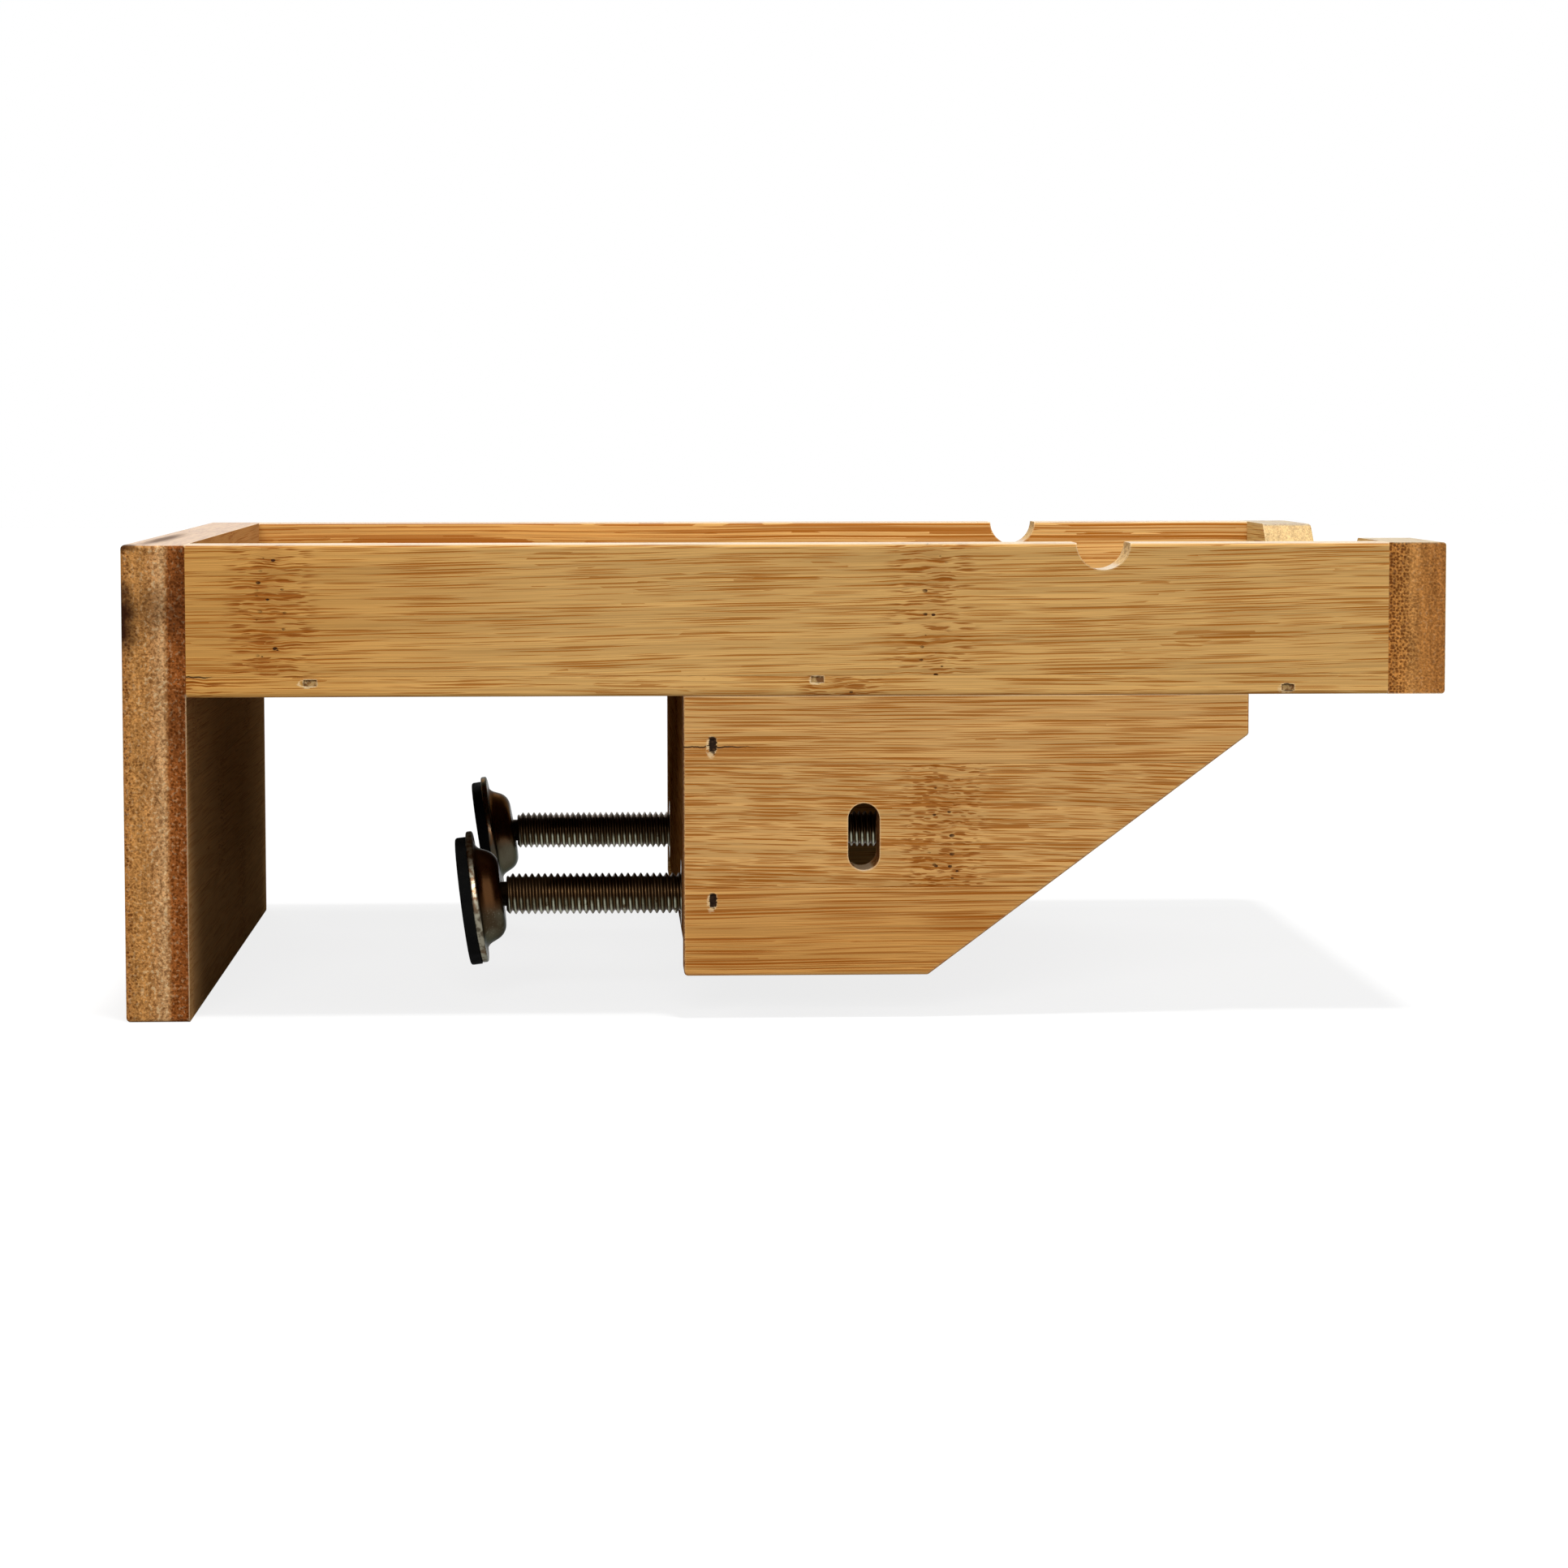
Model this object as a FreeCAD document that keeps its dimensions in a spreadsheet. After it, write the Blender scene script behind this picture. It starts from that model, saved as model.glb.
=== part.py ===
import FreeCAD
import Part
import Sketcher
import math
import os
from types import SimpleNamespace

# Bamboo clip-on bedside shelf: a shallow tray with a hook plate at one end and two brackets
# below it, joined by a cross board that carries two clamp screws with swivelling feet.
# The origin is at the middle of the shelf, level with the hook plate's lower edge. +X runs from
# the hook plate to the front board, +Y to the far side and +Z up. Sizes are in millimetres and
# degrees.

sizeList = {
    # outside of the whole shelf
    "overall_length": 250.0,
    "overall_width": 195.0,
    "overall_height": 90.0,
    # boards of the tray
    "plate_thickness": 12.0,
    "board_thickness": 11.0,
    "tray_depth": 28.7,
    "floor_thickness": 5.0,
    "edge_radius": 0.8,
    # cord notches in the rails, measured from the front board's outer face
    "notch_radius": 5.1,
    "notch_from_front": 65.3,
    # finger scoop in the front board
    "scoop_width": 125.0,
    "scoop_depth": 10.0,
    "scoop_run": 12.0,
    "scoop_corner": 6.0,
    "scoop_lip": 2.0,
    # brackets and the cross board between them
    "clamp_gap": 93.3,
    "bracket_length": 107.2,
    "bracket_drop": 53.1,
    "bracket_nose": 7.6,
    "bracket_foot": 46.3,
    "cable_slot_width": 6.0,
    "cable_slot_height": 12.85,
    "cable_slot_from_back": 34.1,
    "cable_slot_below_tray": 26.8,
    "cross_board_height": 48.0,
    # clamp screws
    "screw_inset": 18.0,
    "screw_below_tray": 40.3,
    "thread_diameter": 8.0,
    "thread_clearance": 0.05,
    "thread_length": 83.0,
    "thread_chamfer": 0.7,
    "head_diameter": 11.0,
    "head_length": 12.0,
    "head_chamfer": 0.8,
    "pin_diameter": 4.8,
    "pin_head_diameter": 6.4,
    "pin_head_height": 1.2,
    "bar_diameter": 5.0,
    "bar_length": 32.0,
    "bar_knob_diameter": 6.4,
    "bar_knob_length": 2.6,
    "bar_knob_nose": 1.2,
    "bar_knob_heel": 0.4,
    # threaded bushes let into the cross board
    "bush_diameter": 11.0,
    "bush_length": 10.0,
    "bush_flange_diameter": 13.0,
    "bush_flange_thickness": 1.0,
    # swivelling feet, measured along the screw from the pivot
    "near_foot_reach": 35.5,
    "far_foot_reach": 35.75,
    "near_foot_droop_angle": 7.2,
    "far_foot_droop_angle": 8.9,
    "foot_wall": 1.2,
    "foot_hole_clearance": 0.4,
    "shoulder_gap": 0.8,
    "dome_height": 4.3,
    "dome_top_diameter": 15.6,
    "dome_base_diameter": 19.6,
    "dome_corner": 3.2,
    "flange_diameter": 25.8,
    "flange_thickness": 1.3,
    "flange_fillet": 2.0,
    "flange_rim_radius": 0.4,
    "hollow_diameter": 13.4,
    "hollow_corner": 1.4,
    "washer_diameter": 8.4,
    "washer_thickness": 1.0,
    "washer_play": 1.15,
    "washer_bore_clearance": 0.1,
    "rubber_diameter": 25.0,
    "rubber_thickness": 2.2,
    "rubber_edge": 0.5,
    "rubber_off_centre": 0.6,
    # brads that hold the boards together
    "brad_length": 20.0,
    "brad_width": 1.2,
    "brad_depth": 1.0,
    "brad_head_width": 2.4,
    "brad_head_thickness": 0.6,
    "brad_sink": 0.8,
    "brad_above_floor_underside": 2.5,
    "brad_end_margin": 9.2,
    # brads in the rails: from the hook plate's outer face, the middle and the front, and above
    # their common line, because the real ones were shot in by hand and don't quite line up
    "left_brad_from_back": 35.2,
    "left_brad_lift": 0.2,
    "middle_brad_off_centre": 5.6,
    "middle_brad_lift": 0.6,
    "right_brad_from_front": 30.1,
    "right_brad_lift": -1.2,
}

doc = FreeCAD.newDocument("bedside_shelf")
sheet = doc.addObject("Spreadsheet::Sheet", "sizes")
for row, (alias, size) in enumerate(sizeList.items(), start=1):
    sheet.set(f"A{row}", alias)
    sheet.set(f"B{row}", str(size))
    sheet.setAlias(f"B{row}", alias)
doc.recompute()

# Each name here is the reference to that cell in a formula.
d = SimpleNamespace(**{alias: f"<<sizes>>.{alias}" for alias in sizeList})

# Planes that several pieces share, in the part's frame
leftFace = f"(-{d.overall_length} / 2)"
frontFace = f"({d.overall_length} / 2)"
nearFace = f"(-{d.overall_width} / 2)"
farFace = f"({d.overall_width} / 2)"
underside = f"({d.overall_height} - {d.tray_depth})"
plateInside = f"({leftFace} + {d.plate_thickness})"
frontInside = f"({frontFace} - {d.board_thickness})"
bracketBack = f"({plateInside} + {d.clamp_gap})"
screwHeight = f"({underside} - {d.screw_below_tray})"
innerWidth = f"({d.overall_width} - 2 * {d.board_thickness})"
innerLength = f"({d.overall_length} - {d.plate_thickness} - {d.board_thickness})"
nodes = []

# Edges are picked by where they lie, to within this
tolerance = 0.01


def bind(thing, prop, formula):
    thing.setExpression(prop, formula)


def place(thing, x, y, z):
    bind(thing, "Placement.Base.x", x)
    bind(thing, "Placement.Base.y", y)
    bind(thing, "Placement.Base.z", z)


def keep(thing, label):
    """Makes an object one of the shelf's pieces, under the name of its file."""
    thing.Label = label
    nodes.append(thing)


def newBody(label, x, y, z):
    body = doc.addObject("PartDesign::Body", label)
    place(body, x, y, z)
    return body


def newSketch(body, role, name):
    """A sketch on one of the body's own origin planes."""
    sketch = body.newObject("Sketcher::SketchObject", f"{body.Name}_{name}")
    plane = next(p for p in body.Origin.OriginFeatures if p.Role == role)
    sketch.AttachmentSupport = [(plane, "")]
    sketch.MapMode = "FlatFace"
    return sketch


def pin(sketch, curve, end, x, y):
    """Holds a point of a curve at x, y, each a formula or "0" for on the axis."""
    for kind, axis, formula in (("DistanceX", -2, x), ("DistanceY", -1, y)):
        if formula == "0":
            sketch.addConstraint(Sketcher.Constraint("PointOnObject", curve, end, axis))
        else:
            index = sketch.addConstraint(Sketcher.Constraint(kind, -1, 1, curve, end, 1.0))
            bind(sketch, f"Constraints[{index}]", formula)


def polygon(sketch, corners):
    """A closed outline through the corners, each held by two formulas."""
    count = len(corners)
    around = [2 * math.pi * k / count for k in range(count)]
    start = [FreeCAD.Vector(math.cos(a), math.sin(a), 0) for a in around]
    for k in range(count):
        sketch.addGeometry(Part.LineSegment(start[k], start[(k + 1) % count]), False)
    for k in range(count):
        sketch.addConstraint(Sketcher.Constraint("Coincident", k, 2, (k + 1) % count, 1))
    for k, (x, y) in enumerate(corners):
        pin(sketch, k, 1, x, y)


def circle(sketch, x, y, radius):
    up = FreeCAD.Vector(0, 0, 1)
    index = sketch.addGeometry(Part.Circle(FreeCAD.Vector(1, 1, 0), up, 1.0), False)
    pin(sketch, index, 3, x, y)
    held = sketch.addConstraint(Sketcher.Constraint("Radius", index, 1.0))
    bind(sketch, f"Constraints[{held}]", radius)


def pad(body, sketch, length, backwards=False):
    feature = body.newObject("PartDesign::Pad", f"{sketch.Name}_pad")
    feature.Profile = sketch
    bind(feature, "Length", length)
    feature.Reversed = backwards
    doc.recompute()


def pocket(body, sketch, length=None, backwards=False):
    """A cut from the sketch to a depth, or right through. It has to take material away."""
    before = body.Shape.Volume
    feature = body.newObject("PartDesign::Pocket", f"{sketch.Name}_cut")
    feature.Profile = sketch
    if length is None:
        feature.Type = "ThroughAll"
        feature.Midplane = True
    else:
        bind(feature, "Length", length)
        feature.Reversed = backwards
    doc.recompute()
    if body.Shape.Volume >= before:
        raise ValueError(f"{feature.Name} cuts nothing")


def revolve(body, sketch, axis):
    feature = body.newObject("PartDesign::Revolution", f"{sketch.Name}_turned")
    feature.Profile = sketch
    feature.ReferenceAxis = (sketch, [axis])
    feature.Angle = 360.0
    doc.recompute()


def fillet(body, name, radius, test):
    """Rounds the edges of the body's last feature that the test picks."""
    base = body.Tip
    picked = [f"Edge{n}" for n, edge in enumerate(base.Shape.Edges, start=1) if test(edge)]
    if not picked:
        raise ValueError(f"{body.Name} has no edge for {name}")
    feature = body.newObject("PartDesign::Fillet", f"{body.Name}_{name}")
    feature.Base = (base, picked)
    bind(feature, "Radius", radius)
    doc.recompute()


def value(alias):
    """The number in a cell, for picking edges by where they lie."""
    return sheet.get(alias)


def runsAlong(edge, axis):
    """Is this a straight edge along the X, Y or Z axis of its body?"""
    if edge.Curve.TypeId != "Part::GeomLine":
        return False
    return abs(abs(getattr(edge.Curve.Direction, axis)) - 1) < tolerance


def lies(edge, axis, where):
    """Does the whole edge lie in the plane where that coordinate has this value?"""
    low = getattr(edge.BoundBox, axis.upper() + "Min")
    high = getattr(edge.BoundBox, axis.upper() + "Max")
    return abs(low - where) < tolerance and abs(high - where) < tolerance


def ring(edge, radius, x):
    """Is this a full circle of that radius, at x along the body's X axis?"""
    if edge.Curve.TypeId != "Part::GeomCircle":
        return False
    sameSize = abs(edge.Curve.Radius - radius) < tolerance
    return sameSize and abs(edge.Curve.Center.x - x) < tolerance


def boxBody(label, x, y, z, length, width, height):
    """A board: its bottom near left corner at x, y, z."""
    body = newBody(label, x, y, z)
    outline = newSketch(body, "XY_Plane", "outline")
    polygon(outline, [("0", "0"), (length, "0"), (length, width), ("0", width)])
    pad(body, outline, height)
    return body


# Brads: a flat head sunk below the face, and a shank that runs on into the next board


def box(label, x, y, z, length, width, height):
    solid = doc.addObject("Part::Box", label)
    place(solid, x, y, z)
    bind(solid, "Length", length)
    bind(solid, "Width", width)
    bind(solid, "Height", height)
    return solid


def centred(at, size):
    return f"({at} - {size} / 2)"


def bradSet(label, spots):
    """Brads at spots of (axis, face, inwards, where, grain), and the recesses over them.

    face is the board's outer face that the brad enters and inwards its direction of travel
    along axis. where holds the other two coordinates, and the flat head is wide along grain.
    """
    shankFrom = f"({d.brad_sink} + {d.brad_head_thickness})"
    shankLength = f"({d.brad_length} - {d.brad_head_thickness})"
    brads = []
    recesses = []
    for n, (axis, face, inwards, where, grain) in enumerate(spots, start=1):
        spans = {}
        for part, wide, deep, start, length in (
            ("head", d.brad_head_width, d.brad_width, d.brad_sink, d.brad_head_thickness),
            ("shank", d.brad_width, d.brad_depth, shankFrom, shankLength),
            ("recess", d.brad_head_width, d.brad_width, "0", d.brad_sink),
        ):
            ahead = f"({face} + {start})"
            behind = f"({face} - {start} - {length})"
            corner = {axis: ahead if inwards > 0 else behind}
            extent = {axis: length}
            for other in "xyz":
                if other != axis:
                    size = wide if other == grain else deep
                    corner[other] = centred(where[other], size)
                    extent[other] = size
            spans[part] = box(
                f"{label}_{part}_{n}",
                corner["x"], corner["y"], corner["z"],
                extent["x"], extent["y"], extent["z"],
            )
        brad = doc.addObject("Part::Fuse", f"{label}_{n}")
        brad.Base = spans["head"]
        brad.Tool = spans["shank"]
        brads.append(brad)
        recesses.append(spans["recess"])
    group = doc.addObject("Part::Compound", label)
    group.Links = brads
    keep(group, label)
    return SimpleNamespace(group=group, recesses=recesses)


def bored(body, label, tools):
    """A board with the holes of the brads that pass through it."""
    cutter = doc.addObject("Part::Compound", f"{label}_holes")
    cutter.Links = tools
    cut = doc.addObject("Part::Cut", label)
    cut.Base = body
    cut.Tool = cutter
    keep(cut, label)


floorBradHeight = f"({underside} + {d.brad_above_floor_underside})"
bracketBradSets = {}
railBradSets = {}
for side, face, inwards in (("near", nearFace, 1), ("far", farFace, -1)):
    spots = []
    for x, lift in (
        (f"({leftFace} + {d.left_brad_from_back})", d.left_brad_lift),
        (d.middle_brad_off_centre, d.middle_brad_lift),
        (f"({frontFace} - {d.right_brad_from_front})", d.right_brad_lift),
    ):
        spots.append(("y", face, inwards, {"x": x, "z": f"({floorBradHeight} + {lift})"}, "x"))
    railBradSets[side] = bradSet(f"{side}_rail_brads", spots)
    crossMiddle = f"({bracketBack} + {d.board_thickness} / 2)"
    upper = f"({underside} - {d.brad_end_margin})"
    lower = f"({underside} - {d.cross_board_height} + {d.brad_end_margin})"
    spots = [("y", face, inwards, {"x": crossMiddle, "z": z}, "z") for z in (upper, lower)]
    bracketBradSets[side] = bradSet(f"{side}_bracket_brads", spots)


def endBrads(label, face, inwards):
    """Brads through an end board, into the rails' ends and the edge of the tray floor."""
    spots = []
    for rail in (f"({nearFace} + {d.board_thickness} / 2)", f"({farFace} - {d.board_thickness} / 2)"):
        for z in (f"({d.overall_height} - {d.brad_end_margin})", f"({underside} + {d.brad_end_margin})"):
            spots.append(("x", face, inwards, {"y": rail, "z": z}, "z"))
    for y in (f"(-{innerWidth} / 4)", f"({innerWidth} / 4)"):
        spots.append(("x", face, inwards, {"y": y, "z": floorBradHeight}, "y"))
    return bradSet(label, spots)


plateBrads = endBrads("hook_plate_brads", leftFace, 1)
frontBrads = endBrads("front_board_brads", frontFace, -1)
endGroups = [plateBrads.group, frontBrads.group]

# Hook plate: the tall board that hangs behind the bed rail, square on its inner face

plate = boxBody(
    "plate_board", leftFace, nearFace, "0",
    d.plate_thickness, d.overall_width, d.overall_height,
)
fillet(
    plate, "rounding", d.edge_radius,
    lambda e: not lies(e, "x", value("plate_thickness")),
)
bored(plate, "hook_plate", [plateBrads.group] + plateBrads.recesses)

# Rails: the tray's long sides, each with a half-round notch for a charging lead


def rail(side, y, outward):
    body = boxBody(
        f"{side}_rail_board", plateInside, y, underside,
        innerLength, d.board_thickness, d.tray_depth,
    )
    outerY = 0 if outward < 0 else value("board_thickness")
    fillet(
        body, "rounding", d.edge_radius,
        lambda e: runsAlong(e, "x") and (lies(e, "z", value("tray_depth")) or
                                         (lies(e, "z", 0) and lies(e, "y", outerY))),
    )
    notch = newSketch(body, "XZ_Plane", "notch")
    fromPlate = f"({d.overall_length} - {d.plate_thickness} - {d.notch_from_front})"
    circle(notch, fromPlate, d.tray_depth, d.notch_radius)
    pocket(body, notch)
    brads = railBradSets[side]
    bored(body, f"{side}_rail", [brads.group] + brads.recesses + endGroups)


rail("near", nearFace, -1)
rail("far", f"({farFace} - {d.board_thickness})", 1)

# Front board: a wide scoop in its top edge lets a hand reach into the tray

front = newBody("front_board_blank", frontInside, nearFace, underside)
frontOutline = newSketch(front, "YZ_Plane", "outline")
stub = f"(({d.overall_width} - {d.scoop_width}) / 2)"
scoopFloor = f"({d.tray_depth} - {d.scoop_depth})"
polygon(frontOutline, [
    ("0", "0"),
    (d.overall_width, "0"),
    (d.overall_width, d.tray_depth),
    (f"({d.overall_width} - {stub})", d.tray_depth),
    (f"({d.overall_width} - {stub} - {d.scoop_run})", scoopFloor),
    (f"({stub} + {d.scoop_run})", scoopFloor),
    (stub, d.tray_depth),
    ("0", d.tray_depth),
])
pad(front, frontOutline, d.board_thickness)
stubLength = (value("overall_width") - value("scoop_width")) / 2
lipAt = (stubLength, value("overall_width") - stubLength)
floorAt = value("tray_depth") - value("scoop_depth")
fillet(
    front, "scoop_corners", d.scoop_corner,
    lambda e: runsAlong(e, "x") and lies(e, "z", floorAt),
)
fillet(
    front, "scoop_lips", d.scoop_lip,
    lambda e: runsAlong(e, "x") and any(lies(e, "y", y) for y in lipAt),
)
fillet(
    front, "rounding", d.edge_radius,
    lambda e: lies(e, "x", value("board_thickness")),
)
bored(front, "front_board", [frontBrads.group] + frontBrads.recesses)

# Tray floor: a thin panel between the four boards, flush with their undersides

floor = boxBody(
    "floor_panel", plateInside, f"({nearFace} + {d.board_thickness})", underside,
    innerLength, innerWidth, d.floor_thickness,
)
sideGroups = [railBradSets[side].group for side in ("near", "far")]
bored(floor, "tray_floor", sideGroups + endGroups)

# Brackets: cut back along the front so that nothing catches the bedding, with a slot for a lead


def bracket(side, y, outward):
    body = newBody(f"{side}_bracket_board", bracketBack, y, f"({underside} - {d.bracket_drop})")
    outline = newSketch(body, "XZ_Plane", "outline")
    polygon(outline, [
        ("0", "0"),
        (d.bracket_foot, "0"),
        (d.bracket_length, f"({d.bracket_drop} - {d.bracket_nose})"),
        (d.bracket_length, d.bracket_drop),
        ("0", d.bracket_drop),
    ])
    pad(body, outline, d.board_thickness, backwards=True)
    outerY = 0 if outward < 0 else value("board_thickness")
    fillet(
        body, "corners", d.edge_radius,
        lambda e: runsAlong(e, "y") and not lies(e, "z", value("bracket_drop")),
    )
    fillet(
        body, "rounding", f"({d.edge_radius} / 2)",
        lambda e: lies(e, "y", outerY) and not lies(e, "z", value("bracket_drop")),
    )
    slotHeight = f"({d.bracket_drop} - {d.cable_slot_below_tray})"
    straight = f"(({d.cable_slot_height} - {d.cable_slot_width}) / 2)"
    half = f"({d.cable_slot_width} / 2)"
    left = f"({d.cable_slot_from_back} - {half})"
    right = f"({d.cable_slot_from_back} + {half})"
    low = f"({slotHeight} - {straight})"
    high = f"({slotHeight} + {straight})"
    middle = newSketch(body, "XZ_Plane", "slot_middle")
    polygon(middle, [(left, low), (right, low), (right, high), (left, high)])
    pocket(body, middle)
    for name, z in (("slot_bottom", low), ("slot_top", high)):
        end = newSketch(body, "XZ_Plane", name)
        circle(end, d.cable_slot_from_back, z, half)
        pocket(body, end)
    brads = bracketBradSets[side]
    bored(body, f"{side}_bracket", [brads.group] + brads.recesses)


bracket("near", nearFace, -1)
bracket("far", f"({farFace} - {d.board_thickness})", 1)

# Cross board: between the brackets, bored for the two threaded bushes

cross = boxBody(
    "cross_board_blank", bracketBack, f"({nearFace} + {d.board_thickness})",
    f"({underside} - {d.cross_board_height})",
    d.board_thickness, innerWidth, d.cross_board_height,
)
fillet(
    cross, "rounding", d.edge_radius,
    lambda e: runsAlong(e, "y") and lies(e, "z", 0),
)
screwUp = f"({d.cross_board_height} - {d.screw_below_tray})"
for side, y in (("near", d.screw_inset), ("far", f"({innerWidth} - {d.screw_inset})")):
    hole = newSketch(cross, "YZ_Plane", f"{side}_hole")
    circle(hole, y, screwUp, f"({d.bush_diameter} / 2)")
    pocket(cross, hole)
    seat = newSketch(cross, "YZ_Plane", f"{side}_seat")
    circle(seat, y, screwUp, f"({d.bush_flange_diameter} / 2)")
    pocket(cross, seat, d.bush_flange_thickness, backwards=True)
bracketGroups = [bracketBradSets[side].group for side in ("near", "far")]
bored(cross, "cross_board", bracketGroups)

# Clamp: bush, screw, tommy bar, foot washer, foot cup and rubber disc, all turned about the
# screw's own axis. Each is drawn along X from the foot's pivot, the middle of the cup's wall.

pinRadius = f"({d.pin_diameter} / 2)"
threadRadius = f"({d.thread_diameter} / 2)"
headRadius = f"({d.head_diameter} / 2)"
shoulder = f"({d.foot_wall} / 2 + {d.shoulder_gap})"
threadEnd = f"({shoulder} + {d.thread_length})"
screwEnd = f"({threadEnd} + {d.head_length})"
barAt = f"({threadEnd} + {d.head_length} / 2)"
washerBack = f"({d.foot_wall} / 2 + {d.washer_play} + {d.washer_thickness})"
# The cup's depth, from its open side to the outside of its crown
footDepth = f"({d.dome_height} + {d.flange_thickness})"


def turned(label, x, y, z, corners):
    """A piece turned about its own X axis, its outline starting at x, y, z."""
    body = newBody(label, x, y, z)
    profile = newSketch(body, "XZ_Plane", "profile")
    polygon(profile, corners)
    revolve(body, profile, "H_Axis")
    return body


def bush(side, y):
    """A hex-driven threaded bush, its flange flush with the board's clamp side."""
    bore = f"({threadRadius} + {d.thread_clearance})"
    outer = f"({d.bush_diameter} / 2)"
    flange = f"({d.bush_flange_diameter} / 2)"
    body = turned(f"{side}_bush", bracketBack, y, screwHeight, [
        ("0", bore),
        (d.bush_length, bore),
        (d.bush_length, outer),
        (d.bush_flange_thickness, outer),
        (d.bush_flange_thickness, flange),
        ("0", flange),
    ])
    keep(body, f"{side}_bush")


def screw(side, x, y):
    """The threaded rod with its riveted pin at the foot and a cross-bored head."""
    pinEnd = f"({washerBack} + {d.pin_head_height})"
    pinHeadRadius = f"({d.pin_head_diameter} / 2)"
    start = f"({x} - {pinEnd})"
    headStart = f"({pinEnd} + {threadEnd})"
    chamferEnd = f"({pinEnd} + {shoulder} + {d.thread_chamfer})"
    body = turned(f"{side}_screw", start, y, screwHeight, [
        ("0", "0"),
        (f"({pinEnd} + {screwEnd})", "0"),
        (f"({pinEnd} + {screwEnd})", f"({headRadius} - {d.head_chamfer})"),
        (f"({pinEnd} + {screwEnd} - {d.head_chamfer})", headRadius),
        (f"({headStart} + {d.head_chamfer})", headRadius),
        (headStart, f"({headRadius} - {d.head_chamfer})"),
        (headStart, threadRadius),
        (chamferEnd, threadRadius),
        (f"({pinEnd} + {shoulder})", f"({threadRadius} - {d.thread_chamfer})"),
        (f"({pinEnd} + {shoulder})", pinRadius),
        (d.pin_head_height, pinRadius),
        (d.pin_head_height, pinHeadRadius),
        ("0", f"({pinHeadRadius} - {d.pin_head_height} / 2)"),
    ])
    cross = newSketch(body, "XZ_Plane", "bar_hole")
    circle(cross, f"({pinEnd} + {barAt})", "0", f"({d.bar_diameter} / 2)")
    pocket(body, cross)
    keep(body, f"{side}_screw")


def tommyBar(side, x, y):
    """A plain bar held fast in the head, its ends upset to small knobs."""
    half = f"({d.bar_length} / 2)"
    radius = f"({d.bar_diameter} / 2)"
    knob = f"({d.bar_knob_diameter} / 2)"
    body = newBody(f"{side}_tommy_bar", f"({x} + {barAt})", f"({y} - {half})", screwHeight)
    profile = newSketch(body, "XY_Plane", "profile")
    polygon(profile, [
        ("0", "0"),
        ("0", d.bar_length),
        (knob, d.bar_length),
        (knob, f"({d.bar_length} - {d.bar_knob_length})"),
        (radius, f"({d.bar_length} - {d.bar_knob_length})"),
        (radius, d.bar_knob_length),
        (knob, d.bar_knob_length),
        (knob, "0"),
    ])
    revolve(body, profile, "V_Axis")
    length = value("bar_length")
    knobLength = value("bar_knob_length")
    knobRadius = value("bar_knob_diameter") / 2
    for name, size, places in (
        ("nose", d.bar_knob_nose, (0, length)),
        ("heel", d.bar_knob_heel, (knobLength, length - knobLength)),
    ):
        fillet(
            body, f"knob_{name}", size,
            lambda e: any(lies(e, "y", at) for at in places)
            and abs(e.BoundBox.XMax - knobRadius) < tolerance,
        )
    keep(body, f"{side}_tommy_bar")


def washer(side, x, y):
    """Held under the riveted pin, it keeps the loose cup on the screw."""
    bore = f"({pinRadius} + {d.washer_bore_clearance})"
    body = turned(f"{side}_foot_washer", f"({x} - {washerBack})", y, screwHeight, [
        ("0", bore),
        (d.washer_thickness, bore),
        (d.washer_thickness, f"({d.washer_diameter} / 2)"),
        ("0", f"({d.washer_diameter} / 2)"),
    ])
    keep(body, f"{side}_foot_washer")


def drooped(body, side, x, y, back, low="0"):
    """Turns a piece of the foot about its pivot, by the angle at which it hangs.

    Its own middle lies behind the pivot by back, and below the foot's axis by low.
    """
    droop = getattr(d, f"{side}_foot_droop_angle")
    place(
        body,
        f"({x} - {back} * cos({droop}) + {low} * sin({droop}))", y,
        f"({screwHeight} - {back} * sin({droop}) - {low} * cos({droop}))",
    )
    body.Placement.Rotation = FreeCAD.Rotation(FreeCAD.Vector(0, -1, 0), 1.0)
    bind(body, "Placement.Rotation.Angle", droop)


def footCup(side, x, y):
    """A pressed steel hat: flange, domed crown and the wide hole that the pin swings in."""
    hole = f"({pinRadius} + {d.foot_hole_clearance})"
    hollow = f"({d.hollow_diameter} / 2)"
    crown = footDepth
    body = turned(f"{side}_foot_cup", "0", "0", "0", [
        ("0", hollow),
        (f"({crown} - {d.foot_wall})", hollow),
        (f"({crown} - {d.foot_wall})", hole),
        (crown, hole),
        (crown, f"({d.dome_top_diameter} / 2)"),
        (d.flange_thickness, f"({d.dome_base_diameter} / 2)"),
        (d.flange_thickness, f"({d.flange_diameter} / 2)"),
        ("0", f"({d.flange_diameter} / 2)"),
    ])
    crownAt = value("dome_height") + value("flange_thickness")
    fillet(body, "dome_corner", d.dome_corner,
           lambda e: ring(e, value("dome_top_diameter") / 2, crownAt))
    fillet(body, "flange_fillet", d.flange_fillet,
           lambda e: ring(e, value("dome_base_diameter") / 2, value("flange_thickness")))
    fillet(body, "hollow_corner", d.hollow_corner,
           lambda e: ring(e, value("hollow_diameter") / 2, crownAt - value("foot_wall")))
    fillet(body, "flange_rim", d.flange_rim_radius,
           lambda e: any(ring(e, value("flange_diameter") / 2, x)
                         for x in (0, value("flange_thickness"))))
    drooped(body, side, x, y, f"({crown} - {d.foot_wall} / 2)")
    keep(body, f"{side}_foot_cup")


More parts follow.
